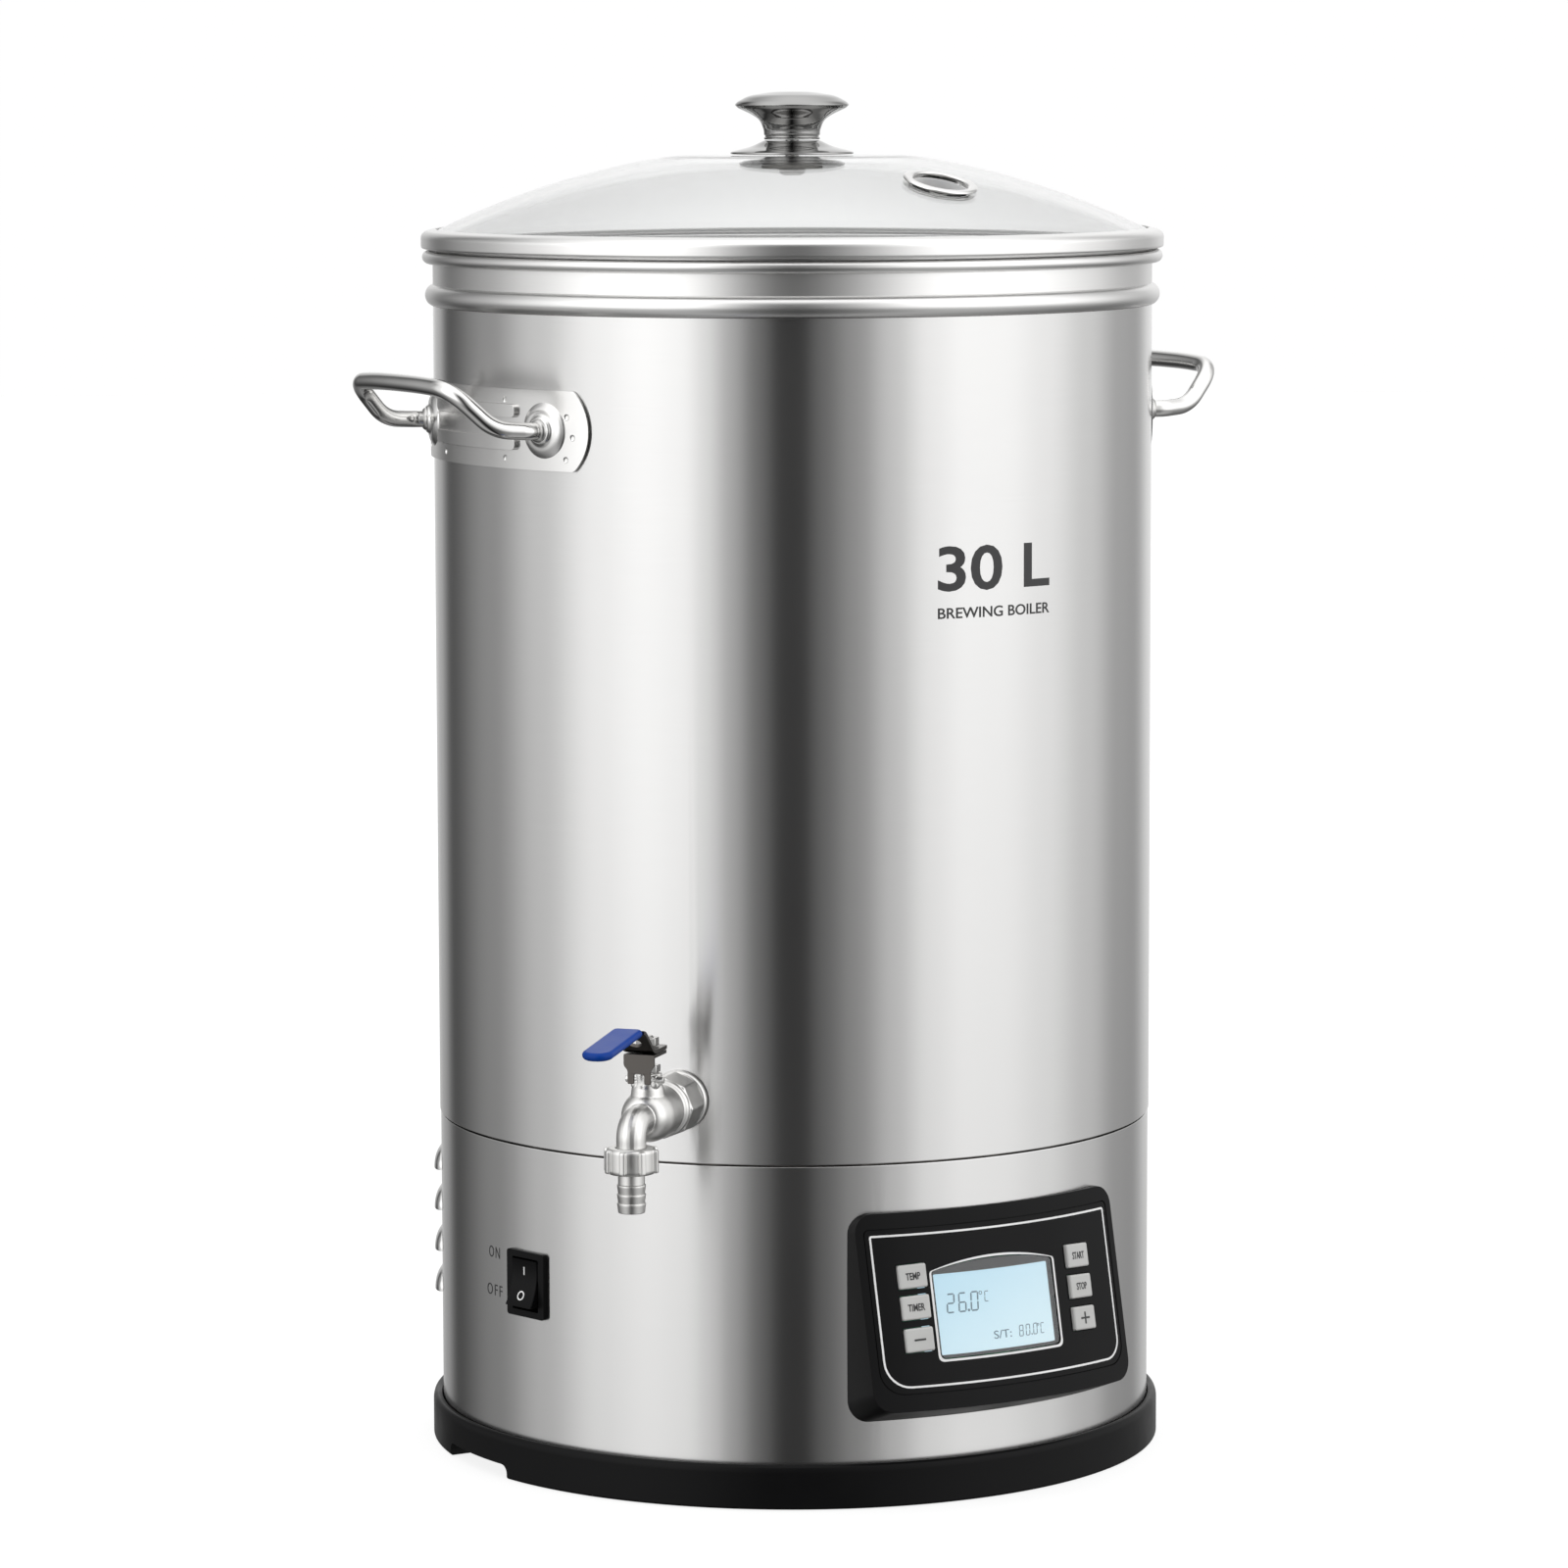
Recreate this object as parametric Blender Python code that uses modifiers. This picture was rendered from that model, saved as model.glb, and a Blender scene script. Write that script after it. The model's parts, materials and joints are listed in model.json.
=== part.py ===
"""An electric all-in-one brewer: a steel pot with a glass lid on a heated base.

The pot's axis is the Z axis and the floor is z = 0. The control panel faces -Y.
Sizes are in millimetres, and the helpers turn them into metres. An azimuth is in
degrees from the panel's direction, growing towards +X.
"""

import math

import bmesh
import bpy
from mathutils import Matrix, Vector

MM = 0.001

# Driving dimensions
POT_RADIUS = 165.0  # outside of the brushed shell
BASE_RADIUS = 164.6  # outside of the base's shell
KETTLE_RADIUS = 159.5  # middle of the kettle's sheet
SHEET = 1.0  # thickness of every shell
SEAM_HEIGHT = 153.7  # where the base ends and the pot starts
RIM_HEIGHT = 551.5  # top of the kettle's rolled rim
LID_SPHERE = 370.0  # radius of the glass dome's outside
LID_CROWN = 598.1  # height that the dome's sphere would reach
LID_FLAT = 594.2  # height of the flat round the knob
GLASS = 4.0
BASKET_RADIUS = 147.0
TAP_HEIGHT = 182.0
STEM_REACH = 207.0  # from the pot's axis to the valve's stem
PIN_RISE = 16.5  # from the tap's axis up to the stop pin
PIN_HALF = 8.7  # half of the stop pin's length
PIN_OFFSET = 3.5  # from the stem's axis to the pin, which lies in a groove of the stem
LEVER_RISE = 28.9  # from the tap's axis up to the lever's underside
SPOUT_REACH = 229.0  # from the pot's axis to the spout's own axis
PANEL_CURVE = 211.0  # radius that the panel's face is bent to
PANEL_REACH = 174.6  # from the pot's axis to the middle of the panel's face
PANEL_HEIGHT = 89.4
PANEL_LEAN = 11.9  # degrees that the face leans back
SWITCH_HEIGHT = 90.8
ROCKER_TRAVEL = 21.6  # degrees between on and off
HANDLE_HEIGHT = 475.5
BOSS_SPREAD = 18.8  # degrees from the middle of a handle to each of its bosses
INLET_HEIGHT = 60.0
FLOOR_PLATE_TOP = 3.7

# Directions round the pot
PANEL, INLET = 0.0, 180.0
TAP, SWITCH, LOUVRES = -50.9, -79.85, -131.5
HANDLES = {"left": -93.0, "right": 87.0}
VENT, VENT_REACH = 5.0, 107.0

ROUND = 32  # steps round the pot's own walls
SMALL = 12  # steps round small turned pieces


# ---------------------------------------------------------------- helpers

def clear_scene():
    for obj in list(bpy.data.objects):
        bpy.data.objects.remove(obj, do_unlink=True)


def collection(name, shown=True):
    group = bpy.data.collections.new(name)
    group.hide_render = not shown
    bpy.context.scene.collection.children.link(group)
    return group


def finish(name, colour, roughness, metallic=0.0, alpha=1.0):
    made = bpy.data.materials.new(name)
    made.use_nodes = True
    shader = made.node_tree.nodes["Principled BSDF"]
    shader.inputs["Base Color"].default_value = (*colour, 1.0)
    shader.inputs["Roughness"].default_value = roughness
    shader.inputs["Metallic"].default_value = metallic
    shader.inputs["Alpha"].default_value = alpha
    made.diffuse_color = (*colour, alpha)
    return made


def empty(name, parent=None, at=(0, 0, 0), turn=(0, 0, 0)):
    """A frame that other pieces hang on; a moving piece's frame lies on its joint's axis."""
    frame = bpy.data.objects.new(name, None)
    PARTS.objects.link(frame)
    return placed(frame, parent, at, turn)


def placed(obj, parent, at, turn):
    obj.parent = parent
    obj.location = Vector(at) * MM
    obj.rotation_euler = [math.radians(angle) for angle in turn]
    return obj


def add(name, data, look=None, parent=None, at=(0, 0, 0), turn=(0, 0, 0)):
    """An object for the data. One with no look is a cutter or a shape to be joined."""
    obj = bpy.data.objects.new(name, data)
    data.materials.clear()
    if look:
        PARTS.objects.link(obj)
        data.materials.append(look)
    else:
        CUTTERS.objects.link(obj)
        obj.hide_render = True
        obj.display_type = "WIRE"
    return placed(obj, parent, at, turn)


def turned(name, outline, look=None, steps=ROUND, wall=0.0, **place):
    """A body of revolution about its own Z axis, from (radius, height) points.

    The outline is closed, or runs from the axis back to the axis; with a wall it
    is the middle of a sheet of that thickness.
    """
    following = outline[1:] + outline[:1]
    area = sum(a[0] * b[1] - b[0] * a[1] for a, b in zip(outline, following))
    points = outline if area < 0 else outline[::-1]
    edges = [(i, i + 1) for i in range(len(points) - 1)]
    on_axis = [point for point in points if point[0] == 0]
    if not wall and len(on_axis) < 2:
        edges.append((len(points) - 1, 0))
    while not wall and on_axis and points[0][0] > 0:
        points = points[1:] + points[:1]
    if on_axis and not wall and points[-1][0] > 0:
        points = points[1:] + points[:1]
    mesh = bpy.data.meshes.new(name)
    mesh.from_pydata([(r * MM, 0, z * MM) for r, z in points], edges, [])
    obj = add(name, mesh, look, **place)
    screw = obj.modifiers.new("revolve", "SCREW")
    screw.steps = screw.render_steps = steps
    screw.use_merge_vertices = True
    screw.merge_threshold = 1e-5
    screw.use_smooth_shade = False
    if wall:
        sheet = obj.modifiers.new("sheet", "SOLIDIFY")
        sheet.thickness = wall * MM
        sheet.offset = 0
        sheet.use_even_offset = True
    return obj


def solid(name, look, build, **place):
    """An object whose mesh is made by build, a function that fills a bmesh."""
    shape = bmesh.new()
    build(shape)
    bmesh.ops.recalc_face_normals(shape, faces=shape.faces)
    mesh = bpy.data.meshes.new(name)
    shape.to_mesh(mesh)
    shape.free()
    return add(name, mesh, look, **place)


def box(name, size, look=None, **place):
    scale = Matrix.Diagonal((*(Vector(size) * MM), 1))
    return solid(name, look, lambda shape: bmesh.ops.create_cube(shape, matrix=scale), **place)


def bar(name, start, end, radius, look=None, steps=SMALL, **place):
    """A round bar from one point to another."""
    start, end = Vector(start), Vector(end)
    along = end - start
    matrix = Matrix.Translation((start + end) / 2 * MM) @ along.to_track_quat("Z", "Y").to_matrix().to_4x4()

    def build(shape):
        bmesh.ops.create_cone(shape, cap_ends=True, segments=steps, radius1=radius * MM,
                              radius2=radius * MM, depth=along.length * MM, matrix=matrix)

    return solid(name, look, build, **place)


def curve(name, points, look=None, radius=0.0, thickness=0.0, closed=False):
    """A wire of the radius along points, or a flat outline of the thickness."""
    data = bpy.data.curves.new(name, "CURVE")
    data.dimensions = "3D" if radius else "2D"
    data.bevel_depth = radius * MM
    data.bevel_resolution = 2
    data.use_fill_caps = bool(radius)
    data.extrude = thickness / 2 * MM
    if thickness:
        data.fill_mode = "BOTH"
    spline = data.splines.new("POLY")
    spline.points.add(len(points) - 1)
    spline.use_cyclic_u = closed
    for point, place in zip(spline.points, points):
        point.co = (*(Vector(place).to_3d() * MM), 1)
    return add(name, data, look)


def meshed(obj):
    """The object as it is evaluated, as a plain mesh object of the same name."""
    bpy.context.view_layer.update()
    evaluated = obj.evaluated_get(bpy.context.evaluated_depsgraph_get())
    mesh = bpy.data.meshes.new_from_object(evaluated)
    shape = bmesh.new()
    shape.from_mesh(mesh)
    bmesh.ops.remove_doubles(shape, verts=shape.verts, dist=1e-6)
    bmesh.ops.recalc_face_normals(shape, faces=shape.faces)
    shape.to_mesh(mesh)
    shape.free()
    name, look = obj.name, obj.data.materials[0] if obj.data.materials else None
    parent, matrix = obj.parent, obj.matrix_local.copy()
    bpy.data.objects.remove(obj, do_unlink=True)
    made = add(name, mesh, look, parent=parent)
    made.matrix_local = matrix
    return made


def prism(name, outline, front, back, look=None, back_scale=(1, 1), **place):
    """An outline of (x, z) points as a block from y = front to y = back."""
    obj = meshed(curve(name, outline, look, thickness=back - front, closed=True))
    middle = (front + back) / 2
    for vertex in obj.data.vertices:
        x, z, depth = vertex.co
        if depth < 0:
            x, z = x * back_scale[0], z * back_scale[1]
        vertex.co = (x, middle * MM - depth, z)
    return placed(obj, place.get("parent"), place.get("at", (0, 0, 0)), place.get("turn", (0, 0, 0)))


def wrapped(obj, radius, step=20.0, lift=0.0):
    """Bends an object modelled flat round its own Z axis: y = -radius is the true length.

    What bends back from the front plane also rises, by that distance times the lift.
    """
    shape = bmesh.new()
    shape.from_mesh(obj.data)
    widths = [vertex.co.x / MM for vertex in shape.verts]
    first, last = math.ceil(min(widths) / step), math.floor(max(widths) / step)
    for count in range(first, last + 1):
        everything = shape.verts[:] + shape.edges[:] + shape.faces[:]
        bmesh.ops.bisect_plane(shape, geom=everything, dist=1e-7,
                               plane_co=(count * step * MM, 0, 0), plane_no=(1, 0, 0))
    bmesh.ops.triangulate(shape, faces=shape.faces)
    for vertex in shape.verts:
        angle, reach = vertex.co.x / (radius * MM), -vertex.co.y
        rise = reach * (1 - math.cos(angle)) * lift
        vertex.co = (reach * math.sin(angle), -reach * math.cos(angle), vertex.co.z + rise)
    shape.to_mesh(obj.data)
    shape.free()
    return obj


def hex_nut(name, outside, bore, low, high, look, **place):
    """A six-sided nut with a round bore, between two heights on its own Z axis."""
    nut = turned(name, [(0, high), (outside, high), (outside, low), (0, low)], look, 6, **place)
    return cut(nut, turned(f"{name}_bore", [(0, high + 1), (bore, high + 1), (bore, low - 1), (0, low - 1)],
                           steps=SMALL, **place))


def combine(obj, operation, others):
    for other in others:
        step = obj.modifiers.new(operation.lower(), "BOOLEAN")
        step.operation = operation
        step.object = other
        step.solver = "EXACT"
    return obj


def cut(obj, *cutters):
    return combine(obj, "DIFFERENCE", cutters)


def join(obj, *others):
    return combine(obj, "UNION", others)


def rounded_rectangle(left, right, bottom, top, radii, steps=2):
    """(x, z) points anticlockwise; radii are those of the lower left, lower right, upper right and upper left."""
    corners = ((left, bottom, 1, 1, 180), (right, bottom, -1, 1, 270), (right, top, -1, -1, 0), (left, top, 1, -1, 90))
    points = []
    for (x, z, inward_x, inward_z, start), radius in zip(corners, radii):
        for count in range(steps + 1):
            angle = math.radians(start + 90 * count / steps)
            points.append((x + inward_x * radius + radius * math.cos(angle),
                           z + inward_z * radius + radius * math.sin(angle)))
    return points


def filleted(corners, radius, steps=3):
    """A path through the corners, each rounded by a curve that starts up to radius before it."""
    corners = [Vector(corner) for corner in corners]
    path = [corners[0]]
    for before, corner, after in zip(corners, corners[1:], corners[2:]):
        reach = min(radius, 0.46 * (before - corner).length, 0.46 * (after - corner).length)
        start = corner + (before - corner).normalized() * reach
        end = corner + (after - corner).normalized() * reach
        for count in range(steps + 1):
            share = count / steps
            path.append((1 - share) ** 2 * start + 2 * share * (1 - share) * corner + share**2 * end)
    return path + [corners[-1]]


def arc(centre, radius, first, last, steps):
    """Points on a circle in the outline's plane, between two angles in degrees."""
    angles = [math.radians(first + (last - first) * count / steps) for count in range(steps + 1)]
    return [(centre[0] + radius * math.cos(a), centre[1] + radius * math.sin(a)) for a in angles]


def on_dome(reach, below=0.0):
    """(radius, height) on the glass dome, or that far under it."""
    drop = LID_SPHERE - math.sqrt(LID_SPHERE**2 - reach**2)
    return (reach, LID_CROWN - drop - below)


# ---------------------------------------------------------------- base

def base_ring():
    ring = turned("base_ring", [
        (150.0, 4.0), (150.0, 12.0), (160.5, 15.0), (163.1, 15.0), (163.1, 9.0), (165.1, 9.0),
        (165.1, 19.4), (167.4, 20.2), (168.7, 19.2), (169.2, 17.4), (169.2, 0.8), (168.4, 0.0),
        (157.3, 0.0), (157.3, 4.0)], BLACK_PLASTIC)
    for side, azimuth in HANDLES.items():
        notch = rounded_rectangle(-28, 28, -8, 6.3, (0.5, 0.5, 4, 4))
        cut(ring, prism(f"notch_{side}", notch, -175, -145, turn=(0, 0, azimuth)))
    return ring


def bottom_cover():
    plate = turned("bottom_cover", [(0, FLOOR_PLATE_TOP), (156.8, FLOOR_PLATE_TOP),
                                    (156.8, 2.7), (0, 2.7)], GALVANISED)
    for count in range(3):
        place = {"turn": (0, 0, 60 + 120 * count)}
        cut(plate, bar(f"cover_hole_{count}", (0, -153, 0), (0, -153, 6), 2.2, steps=8, **place))
        hole = bar(f"ring_hole_{count}", (0, -153, 0), (0, -153, 10.0), 1.9, steps=8, **place)
        cut(bpy.data.objects["base_ring"], hole)
        turned(f"cover_screw_{count + 1}", [(0, 2.4), (3.6, 2.4), (3.6, 1.4), (2.4, 0.6), (0, 0.6)],
               STEEL, steps=12, parent=empty(f"cover_screw_frame_{count}", **place), at=(0, -153, 0))
        join(bpy.data.objects[f"cover_screw_{count + 1}"],
             bar(f"screw_shank_{count}", (0, -153, 2), (0, -153, 9.0), 1.5, steps=8, **place))
    for row in range(4):
        cut(plate, box(f"floor_slot_{row}", (90, 3.2, 8), at=(0, 18 * row - 27, 3)))


def louvre(row, height, shell):
    """One hooded slot: a blunt pressed hood that is open below."""
    def hood(scale, drop):
        def build(shape):
            bmesh.ops.create_uvsphere(shape, u_segments=8, v_segments=6, radius=1)
            for vertex in shape.verts:
                x, y, z = vertex.co
                blunt = math.copysign(abs(x) ** 0.45, x)
                vertex.co = Vector((blunt * scale[0], y * scale[1] - BASE_RADIUS, z * scale[2])) * MM
            bmesh.ops.remove_doubles(shape, verts=shape.verts, dist=1e-6)
            everything = shape.verts[:] + shape.edges[:] + shape.faces[:]
            sliced = bmesh.ops.bisect_plane(shape, geom=everything, plane_co=(0, 0, -drop * MM),
                                            plane_no=(0, 0, -1), clear_outer=True)
            rim = [item for item in sliced["geom_cut"] if isinstance(item, bmesh.types.BMEdge)]
            bmesh.ops.contextual_create(shape, geom=rim)
        return build

    place = {"at": (0, 0, height), "turn": (0, 0, LOUVRES)}
    outer = wrapped(solid(f"hood_{row}", None, hood((30, 4.4, 10.0), 0.0), **place), BASE_RADIUS)
    inner = wrapped(solid(f"slot_{row}", None, hood((28.6, 3.4, 8.8), 0.3), **place), BASE_RADIUS)
    join(shell, outer)
    cut(shell, inner)


def base_shell():
    inside = BASE_RADIUS - SHEET
    shell = turned("base_shell", [(inside, SEAM_HEIGHT - 0.5), (BASE_RADIUS, SEAM_HEIGHT - 0.5),
                                  (BASE_RADIUS, 9.3), (inside, 9.3)], BRUSHED)
    opening = rounded_rectangle(-58, 58, 50, 124, (4,) * 4)
    cut(shell, prism("panel_opening", opening, -175, -140))
    cut(shell, prism("switch_opening", rounded_rectangle(-11, 11, -13.6, 13.6, (0.4,) * 4, 1), -175, -150,
                     at=(0, 0, SWITCH_HEIGHT), turn=(0, 0, SWITCH)))
    cut(shell, prism("inlet_opening", rounded_rectangle(-14.2, 14.2, -10.8, 10.8, (0.4,) * 4, 1), -175, -150,
                     at=(0, 0, INLET_HEIGHT), turn=(0, 0, INLET)))
    for row, height in enumerate((123.3, 104.3, 84.9, 65.8)):
        louvre(row, height, shell)


def joining_ring():
    turned("joining_ring", [(146.0, 160.4), (163.2, 160.4), (163.2, 141.0), (162.2, 141.0),
                            (162.2, 159.4), (146.0, 159.4)], GALVANISED)


def heater():
    """The cast plate under the kettle, its element, its cut-out and the probe through both."""
    bottom = 152.6
    disc = turned("heater_disc", [(0, 160.3), (138, 160.3), (138, bottom), (0, bottom)], ALUMINIUM)
    cut(disc, bar("probe_way", (0, -60, 140), (0, -60, 170), 4.0, steps=12))
    gap, reach, height = 28, 92, bottom - 4.6
    turns = [(reach * math.sin(math.radians(a)), -reach * math.cos(math.radians(a)), height)
             for a in range(180 + gap, 540 - gap + 1, 19)]
    first = filleted([(*turns[0][:2], height - 18), turns[0], turns[1]], 8.0)
    last = filleted([(*turns[-1][:2], height - 18), turns[-1], turns[-2]], 8.0)
    curve("heating_element", first + turns[2:-2] + last[::-1], STEEL, radius=4.0)
    cutout = turned("thermal_cutout", [(0, bottom - 0.4), (8, bottom - 0.4), (8, bottom - 8), (0, bottom - 8)],
                    BLACK_PLASTIC, steps=12, at=(0, 40, 0))
    join(cutout, box("cutout_tabs", (10, 0.8, 7), at=(0, 40, bottom - 10.5)),
         box("cutout_flange", (26, 8, 0.8), at=(0, 40, bottom - 1.0)))


def temperature_probe():
    turned("temperature_probe", [(0, 185.0), (1.8, 184.4), (2.8, 182.5), (2.8, 165.5), (5.5, 165.5), (5.5, 162.2),
                                 (2.8, 162.2), (2.8, 147.0), (4.4, 147.0), (4.4, 143.0), (0, 143.0)],
           STEEL, steps=12, at=(0, -60, 0))


def boards():
    """The mains board with its relay and finned heat sink, on posts on the bottom cover."""
    top = 14.5
    board = box("power_board", (110, 76, 1.6), GREEN_BOARD, at=(0, 60, top - 0.8))
    for column in (-48, 48):
        for line in (30, 90):
            join(board, bar(f"post_{column}_{line}", (column, line, FLOOR_PLATE_TOP + 0.4),
                            (column, line, top - 1), 3.0, steps=8))
    join(board, box("relay", (20, 26, 17), at=(-30, 76, top + 8.3)),
         box("terminals", (60, 10, 11), at=(0, 32, top + 5.3)),
         bar("capacitor", (40, 60, top - 0.4), (40, 60, top + 22), 6.0, steps=12))
    fins, thick, pitch = 6, 2.0, 6.0
    outline = [(0, 0), (0, 28)]
    for count in range(fins):
        left = count * pitch
        outline += [(left, 28), (left + thick, 28), (left + thick, 4), (left + pitch, 4)]
    outline = outline[1:-1] + [((fins - 1) * pitch + thick, 0)]
    prism("heat_sink", [(0, 0)] + outline, -20, 20, ALUMINIUM, at=(-12, 66, top + 0.4))
    control = box("control_board", (104, 1.6, 58), GREEN_BOARD, parent=PANEL_FRAME, at=(-4, FACE + 19.5, 0))
    for x in (-50, 42):
        for z in (-24, 24):
            join(control, bar(f"standoff_{x}_{z}", (x, FACE + 19, z), (x, FACE + 11.4, z), 2.0, steps=8,
                              parent=PANEL_FRAME))


# ---------------------------------------------------------------- control panel

KEY_WIDTH, KEY_HEIGHT = 13.4, 10.6
KEY_ROWS = (15.2, 1.4, -12.9)
KEY_COLUMNS = {-46.7: ("button_temp", "button_timer", "button_minus"),
               42.1: ("button_start", "button_stop", "button_plus")}
SCREEN = (-36.8, 26.6, -22.0, 16.6)  # left, right, bottom, top
FACE = -PANEL_CURVE
FRONT_WALL = 2.4
PANEL_LIFT = math.tan(math.radians(PANEL_LEAN))


def screen_outline(margin=0.0):
    """The window's outline: straight sides and an arched top."""
    left, right, bottom, top = SCREEN
    left, right, bottom = left - margin, right + margin, bottom - margin
    rise, steps = 3.6 + margin, 6
    arch = []
    for count in range(steps + 1):
        share = count / steps
        arch.append((right + (left - right) * share, top + rise * 4 * share * (1 - share)))
    return [(left, bottom), (right, bottom)] + arch


def on_panel(name, outline, front, back, look=None, back_scale=(1, 1)):
    """A block bent round the panel's face, with its level lines kept level where it bends back."""
    flat = prism(name, outline, FACE + front, FACE + back, look, back_scale, parent=PANEL_FRAME)
    return wrapped(flat, PANEL_CURVE, lift=PANEL_LIFT)


def panel_housing():
    outline = rounded_rectangle(-70.5, 70.5, -44.3, 43.6, (9,) * 4)
    housing = on_panel("panel_bezel", outline, 0, 32, BLACK_PLASTIC, (1.18, 1.12))
    cut(housing, turned("shell_clearance", [(0, 170), (BASE_RADIUS + 0.4, 170), (BASE_RADIUS + 0.4, 10), (0, 10)]))
    cut(housing, on_panel("tray", rounded_rectangle(-66.8, 66.8, -36.8, 36.8, (10, 8, 1.5, 1.5)), -3, 1.3))
    hollow = rounded_rectangle(-67.5, 67.5, -41.5, 40.5, (7,) * 4)
    cut(housing, on_panel("hollow", hollow, 1.3 + FRONT_WALL, 40, None, (1.16, 1.06)))
    cut(housing, on_panel("window_way", screen_outline(0.4), -3, 9))
    overlay = on_panel("panel_overlay", rounded_rectangle(-66.4, 66.4, -36.4, 36.4, (9.6, 7.6, 1.2, 1.2)),
                       0.2, 1.0, GLOSS_BLACK)
    cut(overlay, on_panel("overlay_way", screen_outline(0.4), -3, 9))
    for column in KEY_COLUMNS:
        for row in KEY_ROWS:
            place = {"parent": key_frame(column, row, "way")}
            for obj in (housing, overlay):
                cut(obj, box(f"key_way_{column:.0f}_{row:.0f}_{obj.name}",
                             (KEY_WIDTH + 0.8, 14, KEY_HEIGHT + 0.8), **place))


def key_frame(column, row, use):
    """A frame on the panel's face at a key's middle, with -Y along the face's normal."""
    angle = column / PANEL_CURVE
    rise = PANEL_CURVE * (1 - math.cos(angle)) * PANEL_LIFT
    place = (PANEL_CURVE * math.sin(angle), -PANEL_CURVE * math.cos(angle), row + rise)
    return empty(f"key_{use}_{column:.0f}_{row:.0f}", PANEL_FRAME, place, (0, 0, math.degrees(angle)))


def buttons():
    for column, names in KEY_COLUMNS.items():
        for row, name in zip(KEY_ROWS, names):
            frame = key_frame(column, row, "rest")
            key = box(name, (KEY_WIDTH, 5.0, KEY_HEIGHT), SILVER_PLASTIC, parent=frame, at=(0, 1.0, 0))
            join(key, box(f"plunger_{name}", (3, 9, 3), parent=frame, at=(0, 7.0, 0)))


def screen():
    left, right, bottom, top = SCREEN
    on_panel("lcd_window", screen_outline(), 0.6, 1.8, CLEAR_PLASTIC)
    middle, width = (left + right) / 2, right - left - 2
    front, back = FACE + 6.5, FACE + 18.3
    box("lcd_module", (width, back - front, 36.4), SCREEN_BLUE, parent=PANEL_FRAME,
        at=(middle, (front + back) / 2, (bottom + 17.2) / 2))


# ---------------------------------------------------------------- switch and inlet


def rocker_switch():
    frame = empty("switch_frame", None, (0, 0, SWITCH_HEIGHT), (0, 0, SWITCH))
    face = -(BASE_RADIUS + 0.4)
    housing = prism("switch_housing", rounded_rectangle(-12.5, 12.5, -15, 15, (1.5,) * 4, 2),
                    face - 1.2, face, BLACK_PLASTIC, parent=frame)
    join(housing, box("switch_body", (21, 22, 26.4), parent=frame, at=(0, face + 10, 0)))
    cut(housing, box("rocker_well", (17.4, 13, 24.0), parent=frame, at=(0, face + 3.5, 0)))
    pivot = empty("rocker_pivot", frame, (0, face + 1.0, 0))
    half = [(3.2, 0), (5.2, 10.6), (1.5, 10.6), (-5.4, 4.0)]
    outline = half + [(out, -up) for out, up in reversed(half[1:])]
    rocker = prism("switch_rocker", outline, -8.4, 8.4, GLOSS_BLACK, parent=pivot, turn=(0, 0, -90))
    rocker.rotation_euler = (math.radians(-ROCKER_TRAVEL / 2), 0, math.radians(-90))
    rocker.rotation_mode = "ZYX"


def mains_inlet():
    frame = empty("inlet_frame", None, (0, 0, INLET_HEIGHT), (0, 0, INLET))
    face = -(BASE_RADIUS + 0.4)
    inlet = prism("mains_inlet", rounded_rectangle(-25, 25, -14, 14, (4,) * 4, 2), face - 3, face - 0.6,
                  BLACK_PLASTIC, parent=frame)
    join(inlet, box("inlet_body", (27.4, 24, 20.6), parent=frame, at=(0, face + 11, 0)))
    cut(inlet, prism("inlet_recess", rounded_rectangle(-12, 12, -8, 8, (1, 1, 4, 4), 1), face - 8, face + 16,
                     parent=frame))
    for count, (x, z) in enumerate(((-7, -2), (7, -2), (0, 2))):
        join(inlet, box(f"inlet_pin_{count}", (2.0, 16, 4.0), parent=frame, at=(x, face + 10, z)))


# ---------------------------------------------------------------- pot

def tap_way(name, radius=10.8):
    return bar(name, (0, -140, TAP_HEIGHT), (0, -175, TAP_HEIGHT), radius, turn=(0, 0, TAP))


def pot_walls():
    inside = POT_RADIUS - SHEET
    shell = turned("outer_shell", [(inside, 526.3), (POT_RADIUS, 526.3), (POT_RADIUS, SEAM_HEIGHT + 0.3),
                                   (inside, SEAM_HEIGHT + 0.3)], BRUSHED)
    cut(shell, tap_way("shell_tap_way"))
    wrap = turned("insulation_wrap", [(160.8, 517), (163.3, 517), (163.3, 168), (160.8, 168)], FOIL)
    cut(wrap, tap_way("wrap_tap_way"))


def inner_kettle():
    neck = POT_RADIUS - SHEET / 2
    bead = arc((neck - 1.0, 530.9), 4.6, -60, 60, 2)
    rim = arc((neck + 2.4, RIM_HEIGHT - 2.9), 2.4, 180, -60, 4)
    middle = [(0, 161.3), (151.5, 161.3), (157.2, 163.6), (KETTLE_RADIUS, 169.3), (KETTLE_RADIUS, 522.5),
              (161.5, 526.9)] + bead + [(neck, 535.8)] + rim
    kettle = turned("inner_kettle", middle, POLISHED, wall=SHEET)
    cut(kettle, tap_way("kettle_tap_way"))
    cut(kettle, bar("kettle_probe_way", (0, -60, 150), (0, -60, 170), 3.3, steps=12))


def handles():
    for side, azimuth in HANDLES.items():
        frame = empty(f"handle_frame_{side}", None, (0, 0, HANDLE_HEIGHT), (0, 0, azimuth))
        handle_plate(side, frame)
        handle_rod(side, frame)


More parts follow.
